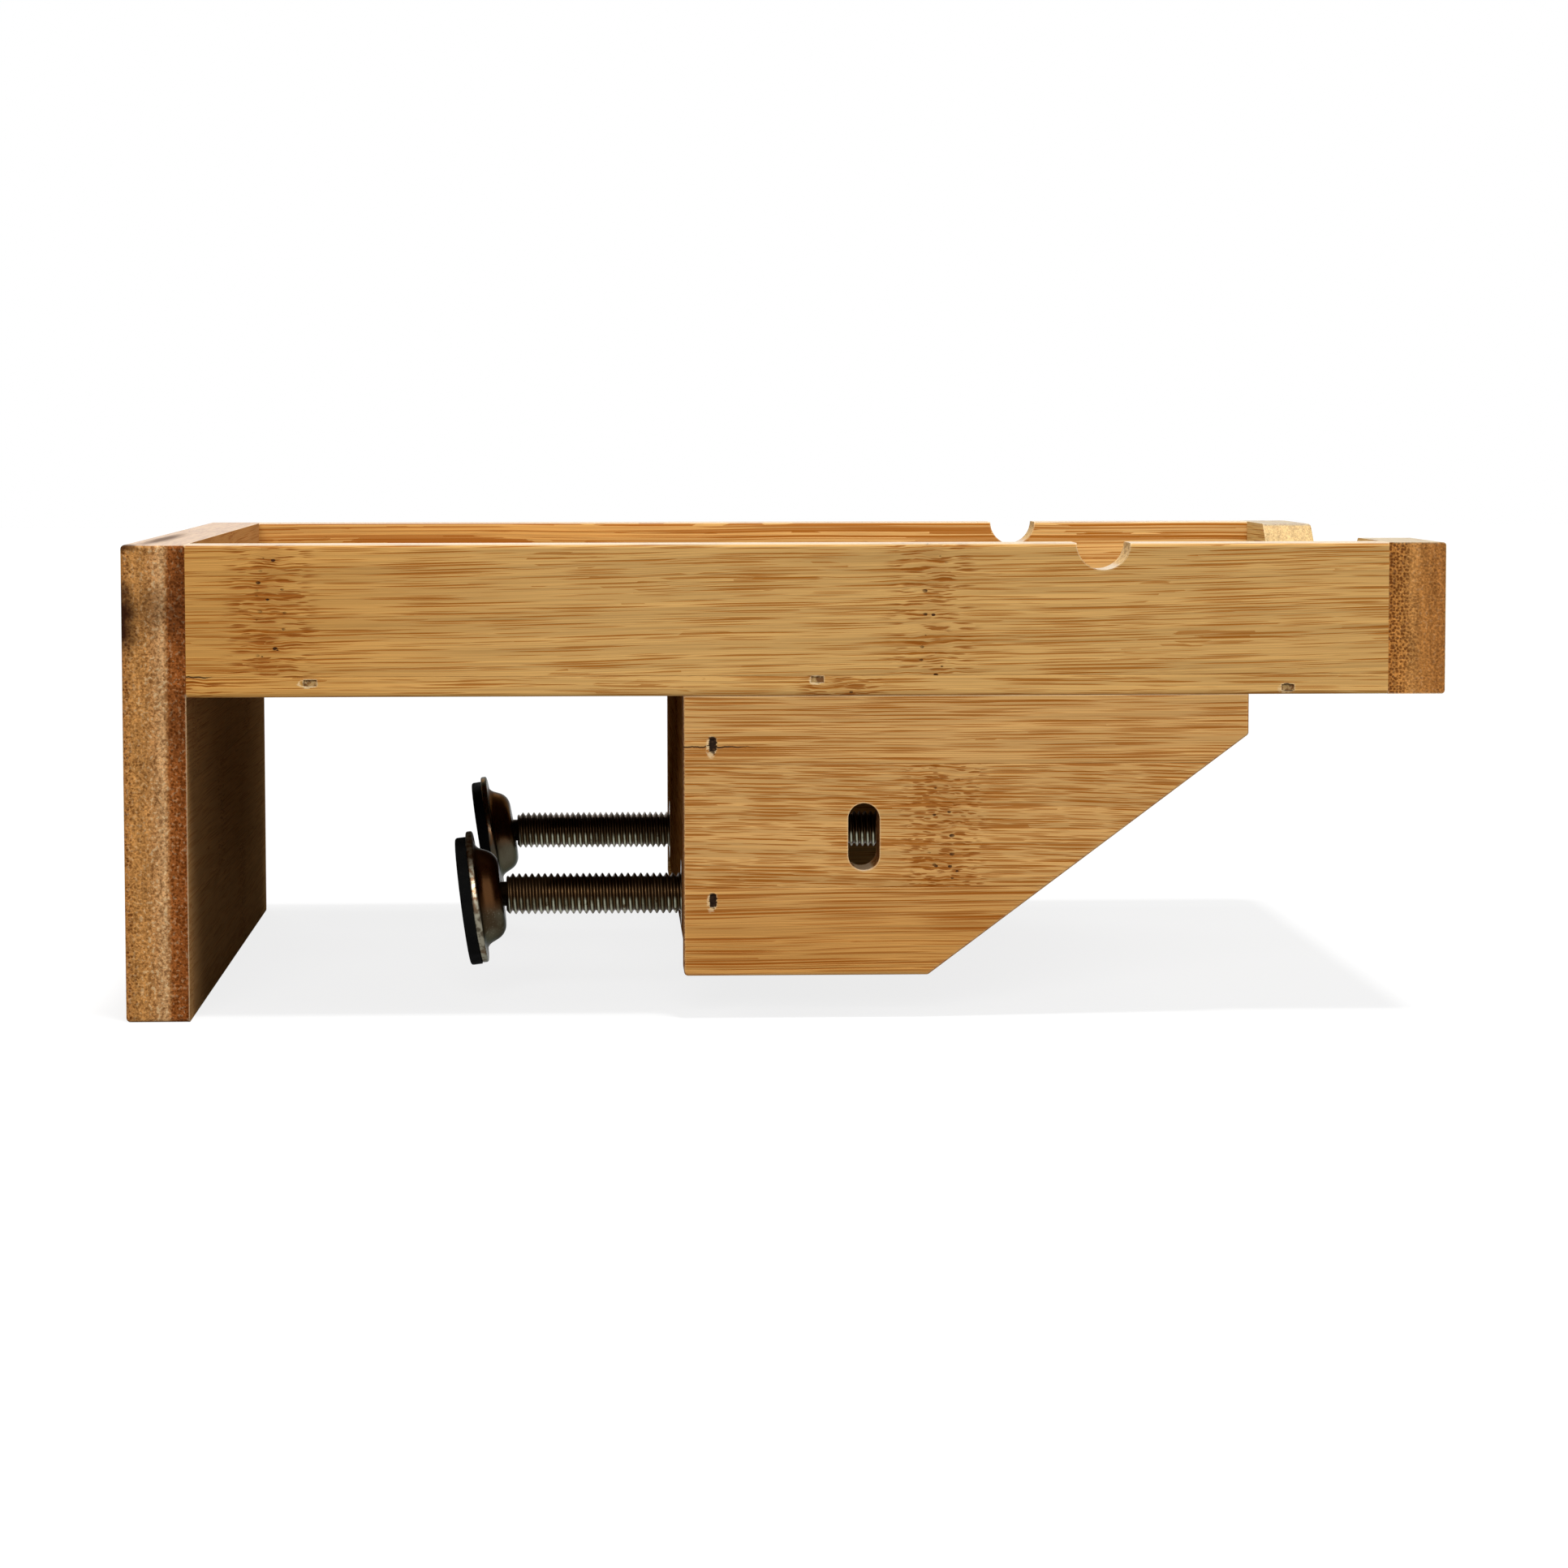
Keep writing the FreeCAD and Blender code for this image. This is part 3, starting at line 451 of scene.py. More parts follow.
boardLooks = {
    "near_rail": {
        "grain": "X", "across": "Z", "tone": (0.99, 0.96, 0.93), "top": (0.55, 0.53, 0.45), "crowding": -0.03,
        "seams": (65.1,), "knots": (10.5, 27.3), "streaks": (26, 30), "leans": (0.0, 0.016),
        "cutWithin": 100.0, "brads": railBrads, "cracks": ((-113.5, -107.0, 65.15, 0.13),),
        "joints": trayJoints, "warm": ("X", -30.0, -110.0),
    },
    "far_rail": {
        "grain": "X", "across": "Z", "tone": (1.0, 1.02, 1.12), "top": (0.55, 0.53, 0.45), "crowding": -0.20,
        "seams": (70.0,), "knots": (60.0, 25.0), "knotWeight": 0.12, "streaks": (70, 90), "leans": (0.0, 0.0),
        "cutWithin": 100.0, "brads": railBrads, "joints": trayJoints, "warm": ("X", 60.0, -60.0),
    },
    "front_board": {
        "grain": "Y", "across": "Z", "tone": (1.10, 1.30, 1.50), "top": (0.22, 0.23, 0.24), "crowding": -0.05,
        "seams": (75.0,), "knots": (30.0, -20.0), "streaks": (30, 36), "leans": (0.01, -0.01),
        "joints": trayJoints, "torn": 0.25, "cutWithin": 75.0,
        "ends": ((114.0, (0.430, 0.170, 0.036), 1.0), (116.5, (0.480, 0.205, 0.048), 0.85),
                 (118.6, (0.470, 0.215, 0.058), 0.45), (120.4, (0.410, 0.172, 0.042), 0.34),
                 (125.0, (0.370, 0.146, 0.034), 0.50)),
    },
    "hook_plate": {
        "grain": "Y", "across": "Z", "tone": (0.95, 0.85, 0.82), "top": (0.51, 0.49, 0.47), "crowding": -0.06,
        "seams": (22.0, 45.0, 69.0), "knots": (30.0, -22.0, 47.0, 10.0), "streaks": (30, 40, 30, 40),
        "leans": (0.01, -0.01, 0.0, 0.01), "joints": trayJoints, "shine": 0.0,
        "ends": ((-125.0, (0.400, 0.162, 0.042), 1.0), (-123.2, (0.470, 0.220, 0.062), 0.60),
                 (-120.8, (0.460, 0.215, 0.063), 0.40), (-119.2, (0.425, 0.204, 0.070), 0.10),
                 (-117.3, (0.540, 0.300, 0.128), 0.0), (-116.6, (0.400, 0.178, 0.058), 0.3),
                 (-116.2, (0.300, 0.095, 0.022), 0.85), (-113.0, (0.205, 0.057, 0.012), 1.0)),
        "plain": ((0.400, 0.215, 0.088, 1), 0.55),
        "burns": (
            ((-125.4, -97.5, 76.0), (3.0, 9.0, 7.0), 1.0), ((-114.2, -97.5, 80.0), (2.4, 9.0, 9.5), 0.42),
            ((-119.5, -97.5, 77.5), (4.5, 9.0, 4.5), 0.42), ((-125.3, -97.5, 89.9), (2.8, 4.0, 1.2), 0.9),
            ((-115.0, -97.5, 56.0), (1.6, 9.0, 7.0), 0.35), ((-120.8, -54.0, 90.0), (1.8, 42.0, 2.0), 0.70)),
    },
    "tray_floor": {
        "grain": "X", "across": "Y", "tone": (1.0, 0.98, 0.93), "top": (0.60, 0.45, 0.26), "crowding": -0.03,
        "seams": (-43.0, 0.0, 43.0), "knots": (-60.0, 20.0, 75.0, -15.0), "streaks": (30, 36, 28, 36),
        "leans": (0.0, 0.01, 0.0, -0.01),
    },
    "near_bracket": {
        "grain": "X", "across": "Z", "tone": (0.96, 0.90, 0.90), "top": (0.60, 0.50, 0.36), "crowding": 0.09,
        "seams": (24.9, 48.3), "knots": (-50.0, 29.6, -50.0), "knotSpacing": 200.0, "streaks": (48, 15, 30),
        "leans": (0.004, -0.016, 0.0), "brads": bracketBrads, "cracks": ((-19.7, -4.0, 51.7, 0.13),),
        "warm": ("Z", 32.0, 14.0),
    },
    "far_bracket": {
        "grain": "X", "across": "Z", "tone": (0.97, 0.94, 0.94), "top": (0.60, 0.50, 0.36), "crowding": 0.03,
        "seams": (27.0, 50.0), "knots": (-30.0, 50.0, 10.0), "streaks": (45, 24, 34),
        "leans": (0.0, 0.01, 0.0), "brads": bracketBrads,
    },
    # painted shade: the cross board, in shade under the tray, is toned darker than the other boards
    "cross_board": {
        "grain": "Y", "across": "Z", "tone": (0.60, 0.44, 0.34), "top": (0.40, 0.28, 0.18), "crowding": 0.05,
        "seams": (36.0,), "knots": (40.0, -25.0), "streaks": (36, 40), "leans": (0.0, 0.01), "shine": 0.0,
    },
}


def plainEnds(name, axis):
    # a sawn end that is alike from side to side
    low, high = (corner["XYZ".index(axis)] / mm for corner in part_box(name))
    return (low, (0.34, 0.138, 0.034), 0.9), (high, (0.37, 0.155, 0.042), 0.4)


def endRamp(tree, through, stops):
    # the sawn end's colour, with its dot weight kept in alpha
    low, high = stops[0][0], stops[-1][0]
    node = tree.nodes.new("ShaderNodeValToRGB")
    feed(tree, node.inputs[0], fade(tree, through, low * mm, high * mm))
    node.inputs[0].links[0].from_node.interpolation_type = "LINEAR"
    ramp = node.color_ramp
    for element, (at, colour, weight) in zip(ramp.elements, (stops[0], stops[-1])):
        element.position = (at - low) / (high - low)
        element.color = (*colour, weight)
    for at, colour, weight in stops[1:-1]:
        ramp.elements.new((at - low) / (high - low)).color = (*colour, weight)
    return node.outputs["Color"], node.outputs["Alpha"]


def boardMaterial(name, look, seed):
    material = bpy.data.materials.new(name + "_bamboo")
    material.use_nodes = True
    tree = material.node_tree
    bsdf = tree.nodes["Principled BSDF"]
    where = tree.nodes.new("ShaderNodeTexCoord")
    place, facing = split(tree, where.outputs["Object"]), split(tree, where.outputs["Normal"])
    grain, across = look["grain"], look["across"]
    through = next(axis for axis in "XYZ" if axis not in (grain, across))

    faceSeed, endSeed = seed * faceSeedStep, seed * endSeedStep
    values = {"Along": place[grain], "Across": place[across], "Through": place[through], "Seed": faceSeed,
              "Crowding": look["crowding"], "Knot Weight": look.get("knotWeight", 1.0),
              "Knot Spacing": look.get("knotSpacing", knotSpacing)}
    values.update({f"Seam {n}": at for n, at in enumerate(look["seams"], start=1)})
    for label in ("Knot", "Streak", "Lean"):
        values.update({f"{label} {n}": at for n, at in enumerate(look[label.lower() + "s"], start=1)})
    face = useGroup(tree, faceGroup, **values)
    layer = useGroup(tree, layerGroup, Across=place[across], Through=place[through], Seed=endSeed)
    endColour, weight = endRamp(tree, layer["Through"], look.get("ends") or plainEnds(name, through))
    if "cutWithin" in look:
        cut = useGroup(tree, cutGroup, Along=place[grain], Limit=look["cutWithin"], Color=endColour,
                       Weight=weight)
        endColour, weight = cut["Color"], cut["Weight"]
    end = useGroup(tree, endGroup, Across=place[across], Through=place[through], Seed=endSeed,
                   Base=endColour, Weight=weight, Torn=look.get("torn", 1.0))
    sawn = fade(tree, calc(tree, "ABSOLUTE", facing[grain]), 0.5, 0.75)

    colour = tint(tree, 1.0, face["Color"], (*look["tone"], 1), "MULTIPLY")
    if "warm" in look:
        axis, start, stop = look["warm"]
        colour = useGroup(tree, warmGroup, Color=colour, At=place[axis], From=start, To=stop)["Color"]
    if "plain" in look:  # painted shade: the face toward the bed rail is evened to a flat brown, as it lies in shade
        even, amount = look["plain"]
        colour = tint(tree, times(tree, fade(tree, facing["X"], 0.3, 0.7), amount), colour, even)
    # painted light: upward faces are tinted toward the top tone, a painted sheen
    top = useGroup(tree, topGroup, Color=colour, Up=facing["Z"], Tone=(*look["top"], 1))
    colour = tint(tree, sawn, top["Color"], end["Color"])
    for n, (spot, reaches, strength) in enumerate(look.get("burns", ())):
        smoke = point(tree, times(tree, place["X"], 420.0), times(tree, place["Z"], 300.0), n)
        smoke = cloud(tree, smoke, 1.0, 4.0)
        offs = [calc(tree, "DIVIDE", calc(tree, "SUBTRACT", place[axis], at * mm), reach * mm)
                for axis, at, reach in zip("XYZ", spot, reaches)]
        away = calc(tree, "SQRT", total(tree, *(calc(tree, "POWER", off, 2.0) for off in offs)))
        burnt = fade(tree, total(tree, away, swing(tree, smoke, 1.3)), 0.35, 1.5, strength, 0.0)
        colour = tint(tree, burnt, colour, bamboo["burn"])
    wornAndLit = useGroup(tree, edgeGroup)["Mask"]
    for at in look.get("joints", ()):
        covered = useGroup(tree, jointGroup, Place=where.outputs["Object"], Facing=where.outputs["Normal"],
                           At=at)
        wornAndLit = times(tree, wornAndLit, calc(tree, "SUBTRACT", 1.0, covered["Mask"]))
    # worn edges and painted edge highlight: the arrises are tinted pale
    colour = tint(tree, times(tree, wornAndLit, 0.5), colour, bamboo["wornAndLit"])
    cracks = 0.0
    for start, stop, level, half in look.get("cracks", ()):
        crack = useGroup(tree, crackGroup, Along=place[grain], Across=place[across], From=start, To=stop,
                         Level=level, Half=half)
        cracks = total(tree, cracks, crack["Mask"])
    colour = tint(tree, cracks, colour, bamboo["crack"])
    for at, level, wide, tall, dark, pale in look.get("brads", ()):
        mark = useGroup(tree, bradMark, **{"Along": place[grain], "Across": place[across], "Brad Along": at,
                                           "Brad Across": level, "Wide": wide, "Tall": tall})
        colour = tint(tree, times(tree, mark["Pale"], pale), colour, bamboo["splinter"])
        colour = tint(tree, times(tree, mark["Dark"], dark), colour, bamboo["crack"])
    feed(tree, bsdf.inputs["Base Color"], colour)

    relief = tree.nodes.new("ShaderNodeBump")
    relief.inputs["Strength"].default_value = 0.7
    relief.inputs["Distance"].default_value = 0.12 * mm
    height = tree.nodes.new("ShaderNodeMix")
    feed(tree, height.inputs[0], sawn)
    feed(tree, height.inputs[2], total(tree, face["Height"], times(tree, cracks, -2.0)))
    feed(tree, height.inputs[3], end["Height"])
    feed(tree, relief.inputs["Height"], height.outputs[0])
    feed(tree, bsdf.inputs["Normal"], relief.outputs[0])
    feed(tree, bsdf.inputs["Roughness"], fade(tree, sawn, 0.0, 1.0, 0.42, 0.70))
    bsdf.inputs["Specular IOR Level"].default_value = look.get("shine", boardShine)
    return material


# Steel, zinc and rubber

def metalSkinGroup():
    # a plain tone with cloudy stains and fine specks, and a fine-grained surface
    tones = [(label, "Color", (0.5, 0.5, 0.5, 1)) for label in ("Plain", "Stain", "Speck")]
    tree, given, out = newGroup(
        "metalSkin",
        [("Place", "Vector", (0, 0, 0)), *tones, ("Stain Scale", "Float", 160.0), ("Specks", "Float", 0.25)],
        [("Color", "Color"), ("Stained", "Float"), ("Height", "Float")])
    stain = fade(tree, cloud(tree, given["Place"], given["Stain Scale"], 4.0), 0.42, 0.62)
    speck = fade(tree, cloud(tree, given["Place"], 2600.0, 2.0), 0.60, 0.68)
    colour = tint(tree, stain, given["Plain"], given["Stain"])
    feed(tree, out["Color"], tint(tree, times(tree, speck, given["Specks"]), colour, given["Speck"]))
    feed(tree, out["Stained"], stain)
    feed(tree, out["Height"], cloud(tree, given["Place"], 1500.0, 3.0))
    return tree


def paintedReflectionGroup():
    # painted reflection: a screw or cup is darkened on its upper side and at its very bottom, leaving a bright
    # band between, the way dark and bright surroundings mirror in it
    tree, given, out = newGroup(
        "paintedReflection", [("Place", "Vector", (0, 0, 0)), ("Level", "Float", 0.02), ("Reach", "Float", 0.004)],
        [("Mask", "Float")])
    rise = calc(tree, "SUBTRACT", split(tree, given["Place"])["Z"], given["Level"])
    rise = calc(tree, "DIVIDE", rise, given["Reach"])
    brightBand = times(tree, fade(tree, rise, -0.02, -0.30), fade(tree, rise, -0.98, -0.70))
    feed(tree, out["Mask"], calc(tree, "SUBTRACT", 1.0, brightBand))
    return tree


def bareRimGroup():
    # painted highlight: the flange's edge, more than Start away from the foot's axis, is flecked with the
    # bright tone
    tree, given, out = newGroup(
        "bareRim", [("Place", "Vector", (0, 0, 0)), ("Pivot", "Vector", (0, 0, 0)),
                    ("Axis", "Vector", (1, 0, 0)), ("Start", "Float", 0.012)], [("Mask", "Float")])
    fromPivot = vectorCalc(tree, "SUBTRACT", given["Place"], given["Pivot"])
    outward = vectorCalc(tree, "LENGTH", vectorCalc(tree, "CROSS_PRODUCT", fromPivot, given["Axis"]))
    fleck = fade(tree, cloud(tree, given["Place"], 900.0, 4.0), 0.40, 0.60, 0.15, 1.0)
    edge = fade(tree, outward, given["Start"], calc(tree, "ADD", given["Start"], 0.5 * mm))
    feed(tree, out["Mask"], times(tree, edge, fleck))
    return tree


skinGroup, reflectionGroup, rimGroup = metalSkinGroup(), paintedReflectionGroup(), bareRimGroup()


def metalMaterial(name, look):
    material = bpy.data.materials.new(name)
    material.use_nodes = True
    tree = material.node_tree
    bsdf = tree.nodes["Principled BSDF"]
    place = tree.nodes.new("ShaderNodeTexCoord").outputs["Object"]
    skin = useGroup(tree, skinGroup, Place=place, Plain=look["colour"], Stain=look["stain"],
                    Speck=look["speck"], Specks=look["specks"], **{"Stain Scale": look["stainScale"]})
    colour = skin["Color"]
    if "grooveShade" in look:  # painted shade and highlight: the thread's grooves are painted dark and its crests bright, in patches
        crest = tree.nodes.new("ShaderNodeAttribute")
        crest.attribute_name = "crest"
        crestHighlight = fade(tree, cloud(tree, place, 700.0, 3.0), 0.30, 0.46)
        crestHighlight = times(tree, fade(tree, crest.outputs["Fac"], 0.15, 0.8), crestHighlight)
        colour = tint(tree, crestHighlight, look["grooveShade"], colour)
    # painted reflection: the steel is darker on its upper side and at the very bottom
    if "darkReflection" in look:
        level, reach, darkReflection = look["darkReflection"]
        mirrored = useGroup(tree, reflectionGroup, Place=place, Level=level, Reach=reach)
        colour = tint(tree, mirrored["Mask"], colour, darkReflection)
    if "rim" in look:  # painted highlight: the flange's edge is flecked with the speck tone
        pivot, axis, start = look["rim"]
        bare = useGroup(tree, rimGroup, Place=place, Pivot=pivot, Axis=axis, Start=start)
        colour = tint(tree, bare["Mask"], colour, look["speck"])
    # worn edges and painted edge highlight: edges are tinted toward the speck tone
    wornAndLit = useGroup(tree, edgeGroup, Reach=0.25 * mm)["Mask"]
    colour = tint(tree, times(tree, wornAndLit, look["wearAndHighlight"]), colour, look["speck"])
    feed(tree, bsdf.inputs["Base Color"], colour)
    stained = look["roughness"] + 0.16
    feed(tree, bsdf.inputs["Roughness"], fade(tree, skin["Stained"], 0.0, 1.0, look["roughness"], stained))
    bsdf.inputs["Metallic"].default_value = look["metallic"]
    bsdf.inputs["Specular IOR Level"].default_value = look.get("shine", 0.5)
    bsdf.inputs["Specular Tint"].default_value = look.get("edge", (1, 1, 1, 1))
    relief = tree.nodes.new("ShaderNodeBump")
    relief.inputs["Strength"].default_value = 0.35
    relief.inputs["Distance"].default_value = 0.03 * mm
    feed(tree, relief.inputs["Height"], skin["Height"])
    feed(tree, bsdf.inputs["Normal"], relief.outputs[0])
    return material


# Each metal: its plain tone, the tones of its stains and specks, how its edges are worn and painted
# pale, and how it shines. Root is the painted shade in a thread's grooves, oil (level, reach, tone) a
# painted reflection that darkens the upper side and the very bottom, and edge tints what it mirrors.
metalLooks = {
    "threadSteel": {
        "colour": (0.380, 0.390, 0.300, 1), "stain": (0.160, 0.150, 0.100, 1), "speck": (0.50, 0.50, 0.38, 1),
        "grooveShade": (0.075, 0.045, 0.019, 1), "darkReflection": (21.0 * mm, 4.0 * mm, (0.066, 0.038, 0.017, 1)),
        "stainScale": 160.0, "specks": 0.25, "wearAndHighlight": 0.0, "roughness": 0.30, "metallic": 1.0,
    },
    "oiledSteel": {
        "colour": (0.120, 0.110, 0.082, 1), "stain": (0.050, 0.034, 0.020, 1), "speck": (0.30, 0.28, 0.21, 1),
        "stainScale": 160.0, "specks": 0.25, "wearAndHighlight": 0.3, "roughness": 0.33, "metallic": 1.0,
    },
    "bushZinc": {
        "colour": (0.40, 0.37, 0.31, 1), "stain": (0.24, 0.21, 0.16, 1), "speck": (0.62, 0.60, 0.54, 1),
        "stainScale": 260.0, "specks": 0.2, "wearAndHighlight": 0.3, "roughness": 0.38, "metallic": 1.0,
    },
    "bradSteel": {
        "colour": (0.020, 0.009, 0.004, 1), "stain": (0.012, 0.005, 0.002, 1), "speck": (0.16, 0.08, 0.03, 1),
        "stainScale": 900.0, "specks": 0.5, "wearAndHighlight": 0.1, "roughness": 0.6, "metallic": 0.3, "shine": 0.1,
    },
    "bradFiller": {
        "colour": (0.470, 0.300, 0.120, 1), "stain": (0.200, 0.090, 0.030, 1), "speck": (0.66, 0.50, 0.28, 1),
        "stainScale": 1100.0, "specks": 0.6, "wearAndHighlight": 0.1, "roughness": 0.7, "metallic": 0.0, "shine": 0.05,
    },
    "footRubber": {
        "colour": (0.0030, 0.0030, 0.0030, 1), "stain": (0.0055, 0.0055, 0.0052, 1),
        "speck": (0.012, 0.012, 0.011, 1), "stainScale": 300.0, "specks": 0.3, "wearAndHighlight": 0.15,
        "roughness": 0.75, "metallic": 0.0, "shine": 0.03,
    },
}
cupLook = {
    "colour": (0.082, 0.072, 0.048, 1), "stain": (0.048, 0.032, 0.017, 1), "stainScale": 110.0, "specks": 0.25,
    "darkReflection": (21.0 * mm, 12.0 * mm, (0.095, 0.041, 0.015, 1)), "edge": (0.42, 0.45, 0.45, 1), "wearAndHighlight": 0.30,
    "roughness": 0.27, "metallic": 1.0,
}
rimFrom = 12.2 * mm
footLooks = {  # each foot's pivot, in mm, how far it droops, in degrees, and the tone of its specks, edges and rim: bright on the near cup as a painted highlight, dark on the far cup as painted shade
    "near": {"pivot": (-55.2, -68.5, 21.0), "droop": 7.2, "speck": (0.26, 0.24, 0.18, 1)},
    "far": {"pivot": (-55.45, 68.5, 21.0), "droop": 8.9, "speck": (0.060, 0.050, 0.035, 1)},
}
metals = {name: metalMaterial(name, look) for name, look in metalLooks.items()}
for side, foot in footLooks.items():
    droop = math.radians(foot["droop"])
    rim = [v * mm for v in foot["pivot"]], (math.cos(droop), 0.0, math.sin(droop)), rimFrom
    steel = side + "CupSteel"
    metals[steel] = metalMaterial(steel, {**cupLook, "rim": rim, "speck": foot["speck"]})


def coat(piece, material):
    piece.data.materials.clear()
    piece.data.materials.append(material)


for seed, (name, look) in enumerate(boardLooks.items()):
    coat(boards[name], boardMaterial(name, look, seed))
for name, piece in boards.items():
    for ending, metal in (("_washer", "oiledSteel"), ("_tommy_bar", "oiledSteel"), ("_bush", "bushZinc"),
                          ("_brads", "bradSteel"), ("rail_brads", "bradFiller"), ("_rubber", "footRubber"),
                          ("near_foot_cup", "nearCupSteel"), ("far_foot_cup", "farCupSteel")):
        if name.endswith(ending):
            coat(piece, metals[metal])
print("materials:", len(bpy.data.materials))


# Clamp screws: a real helical thread, with the riveted pin at one end and a plain turned head at the other

screwSizes = {
    "threadRadius": 4.0 * mm, "threadDepth": 0.68 * mm, "pitch": 1.25 * mm, "threadLength": 83.0 * mm,
    "chamfer": 0.7 * mm, "pinRadius": 2.4 * mm, "rivetRadius": 3.2 * mm, "rivetHeight": 1.2 * mm,
    "rivetEase": (0.18 * mm, 0.2 * mm), "headRadius": 5.5 * mm, "headLength": 12.0 * mm,
    "headChamfer": 0.8 * mm, "overlap": 0.4 * mm, "around": 48, "ringsPerTurn": 12,
    "pinHighlight": 0.7, "headHighlight": 0.45,  # how much of the painted crest highlight the plain turned parts get, as a crest gets 1
}


def threadTree():
    # a cylinder whose wall is drawn in along a right-hand helix, with rounded crests
    tree = bpy.data.node_groups.new("screwThread", "GeometryNodeTree")
    for label, kind in (("Length", "Float"), ("Radius", "Float"), ("Depth", "Float"), ("Pitch", "Float"),
                        ("Chamfer", "Float"), ("Around", "Int"), ("Rings", "Int"), ("Foot", "Vector"),
                        ("Steel", "Material")):
        tree.interface.new_socket(name=label, in_out="INPUT", socket_type="NodeSocket" + kind)
    tree.interface.new_socket(name="Geometry", in_out="OUTPUT", socket_type="NodeSocketGeometry")
    given = tree.nodes.new("NodeGroupInput").outputs
    out = tree.nodes.new("NodeGroupOutput").inputs

    rod = tree.nodes.new("GeometryNodeMeshCylinder")
    for label, source in (("Vertices", "Around"), ("Side Segments", "Rings"), ("Radius", "Radius"),
                          ("Depth", "Length")):
        feed(tree, rod.inputs[label], given[source])
    at = split(tree, tree.nodes.new("GeometryNodeInputPosition").outputs[0])
    height = calc(tree, "ADD", at["Z"], calc(tree, "DIVIDE", given["Length"], 2.0))
    toHead = calc(tree, "SUBTRACT", given["Length"], height)
    turn = calc(tree, "DIVIDE", calc(tree, "ARCTAN2", at["Y"], at["X"]), 2 * math.pi)
    phase = calc(tree, "FRACT", calc(tree, "SUBTRACT", calc(tree, "DIVIDE", height, given["Pitch"]), turn))
    flank = times(tree, calc(tree, "ABSOLUTE", calc(tree, "SUBTRACT", phase, 0.5)), 2.0)
    groove = fade(tree, flank, 0.05, 0.90)
    runOut = calc(tree, "MINIMUM", calc(tree, "DIVIDE", toHead, times(tree, given["Pitch"], 1.5)), 1.0)
    threaded = calc(tree, "SUBTRACT", given["Radius"], times(tree, groove, given["Depth"], runOut))
    lead = calc(tree, "MAXIMUM", calc(tree, "SUBTRACT", given["Chamfer"], height), 0.0)
    radius = calc(tree, "MINIMUM", threaded, calc(tree, "SUBTRACT", given["Radius"], lead))
    scaleBy = calc(tree, "DIVIDE", radius, given["Radius"])
    offAxis = calc(tree, "ADD", calc(tree, "POWER", at["X"], 2.0), calc(tree, "POWER", at["Y"], 2.0))
    onWall = calc(tree, "GREATER_THAN", offAxis, 1e-9)
    shaped = tree.nodes.new("GeometryNodeSetPosition")
    feed(tree, shaped.inputs["Geometry"], rod.outputs["Mesh"])
    feed(tree, shaped.inputs["Selection"], onWall)
    drawn = point(tree, times(tree, at["X"], scaleBy), times(tree, at["Y"], scaleBy), at["Z"])
    feed(tree, shaped.inputs["Position"], drawn)
    marked = tree.nodes.new("GeometryNodeStoreNamedAttribute")  # how near the crest each point is
    marked.data_type = "FLOAT"
    marked.domain = "POINT"
    marked.inputs["Name"].default_value = "crest"
    feed(tree, marked.inputs["Geometry"], shaped.outputs[0])
    farOut = split(tree, tree.nodes.new("GeometryNodeInputPosition").outputs[0])
    outward = calc(tree, "ADD", calc(tree, "POWER", farOut["X"], 2.0), calc(tree, "POWER", farOut["Y"], 2.0))
    outward = calc(tree, "SQRT", outward)
    rise = calc(tree, "SUBTRACT", outward, calc(tree, "SUBTRACT", given["Radius"], given["Depth"]))
    feed(tree, marked.inputs["Value"], calc(tree, "MAXIMUM", calc(tree, "DIVIDE", rise, given["Depth"]), 0.0))

    # from the foot's end to the rod's middle
    toMiddle = point(tree, calc(tree, "DIVIDE", given["Length"], 2.0), 0.0, 0.0)
    laid = tree.nodes.new("GeometryNodeTransform")
    feed(tree, laid.inputs["Geometry"], marked.outputs[0])
    feed(tree, laid.inputs["Translation"], vectorCalc(tree, "ADD", given["Foot"], toMiddle))
    laid.inputs["Rotation"].default_value = (0.0, math.pi / 2, 0.0)
    smooth = tree.nodes.new("GeometryNodeSetShadeSmooth")
    feed(tree, smooth.inputs["Geometry"], laid.outputs[0])
    whole = tree.nodes.new("GeometryNodeRealizeInstances")
    feed(tree, whole.inputs[0], smooth.outputs[0])
    coated = tree.nodes.new("GeometryNodeSetMaterial")
    feed(tree, coated.inputs["Geometry"], whole.outputs[0])
    feed(tree, coated.inputs["Material"], given["Steel"])
    feed(tree, out["Geometry"], coated.outputs[0])
    return tree


def grown(name, tree, **values):
    # runs a geometry tree once and keeps its mesh
    host = bpy.data.objects.new(name, bpy.data.meshes.new(name))
    scene.collection.objects.link(host)
    modifier = host.modifiers.new("grow", "NODES")
    modifier.node_group = tree
    sockets = {item.name: item.identifier for item in tree.interface.items_tree if item.in_out == "INPUT"}
    for label, value in values.items():
        modifier[sockets[label]] = value
    bpy.context.view_layer.update()
    mesh = bpy.data.meshes.new_from_object(host.evaluated_get(bpy.context.evaluated_depsgraph_get()))
    bpy.data.objects.remove(host)
    return mesh


def turnedShell(shape, centre, outline, segments, crest):
    # a closed shell about the X axis, from (x, radius) pairs that start and end on the axis
    mark = shape.verts.layers.float["crest"]
    rings = []
    for x, radius in outline:
        angles = [2 * math.pi * k / segments for k in range(segments)] if radius else [0.0]
        spots = [Vector((x, radius * math.cos(angle), radius * math.sin(angle))) for angle in angles]
        rings.append([shape.verts.new(centre + spot) for spot in spots])
        for vert in rings[-1]:
            vert[mark] = crest
    for left, right in zip(rings, rings[1:]):
        for k in range(segments):
            after = (k + 1) % segments
            corners = [left[k % len(left)], left[after % len(left)]]
            corners += [right[after % len(right)], right[k % len(right)]]
            face = shape.faces.new(list(dict.fromkeys(corners)))
            face.smooth = len(left) > 1 and len(right) > 1


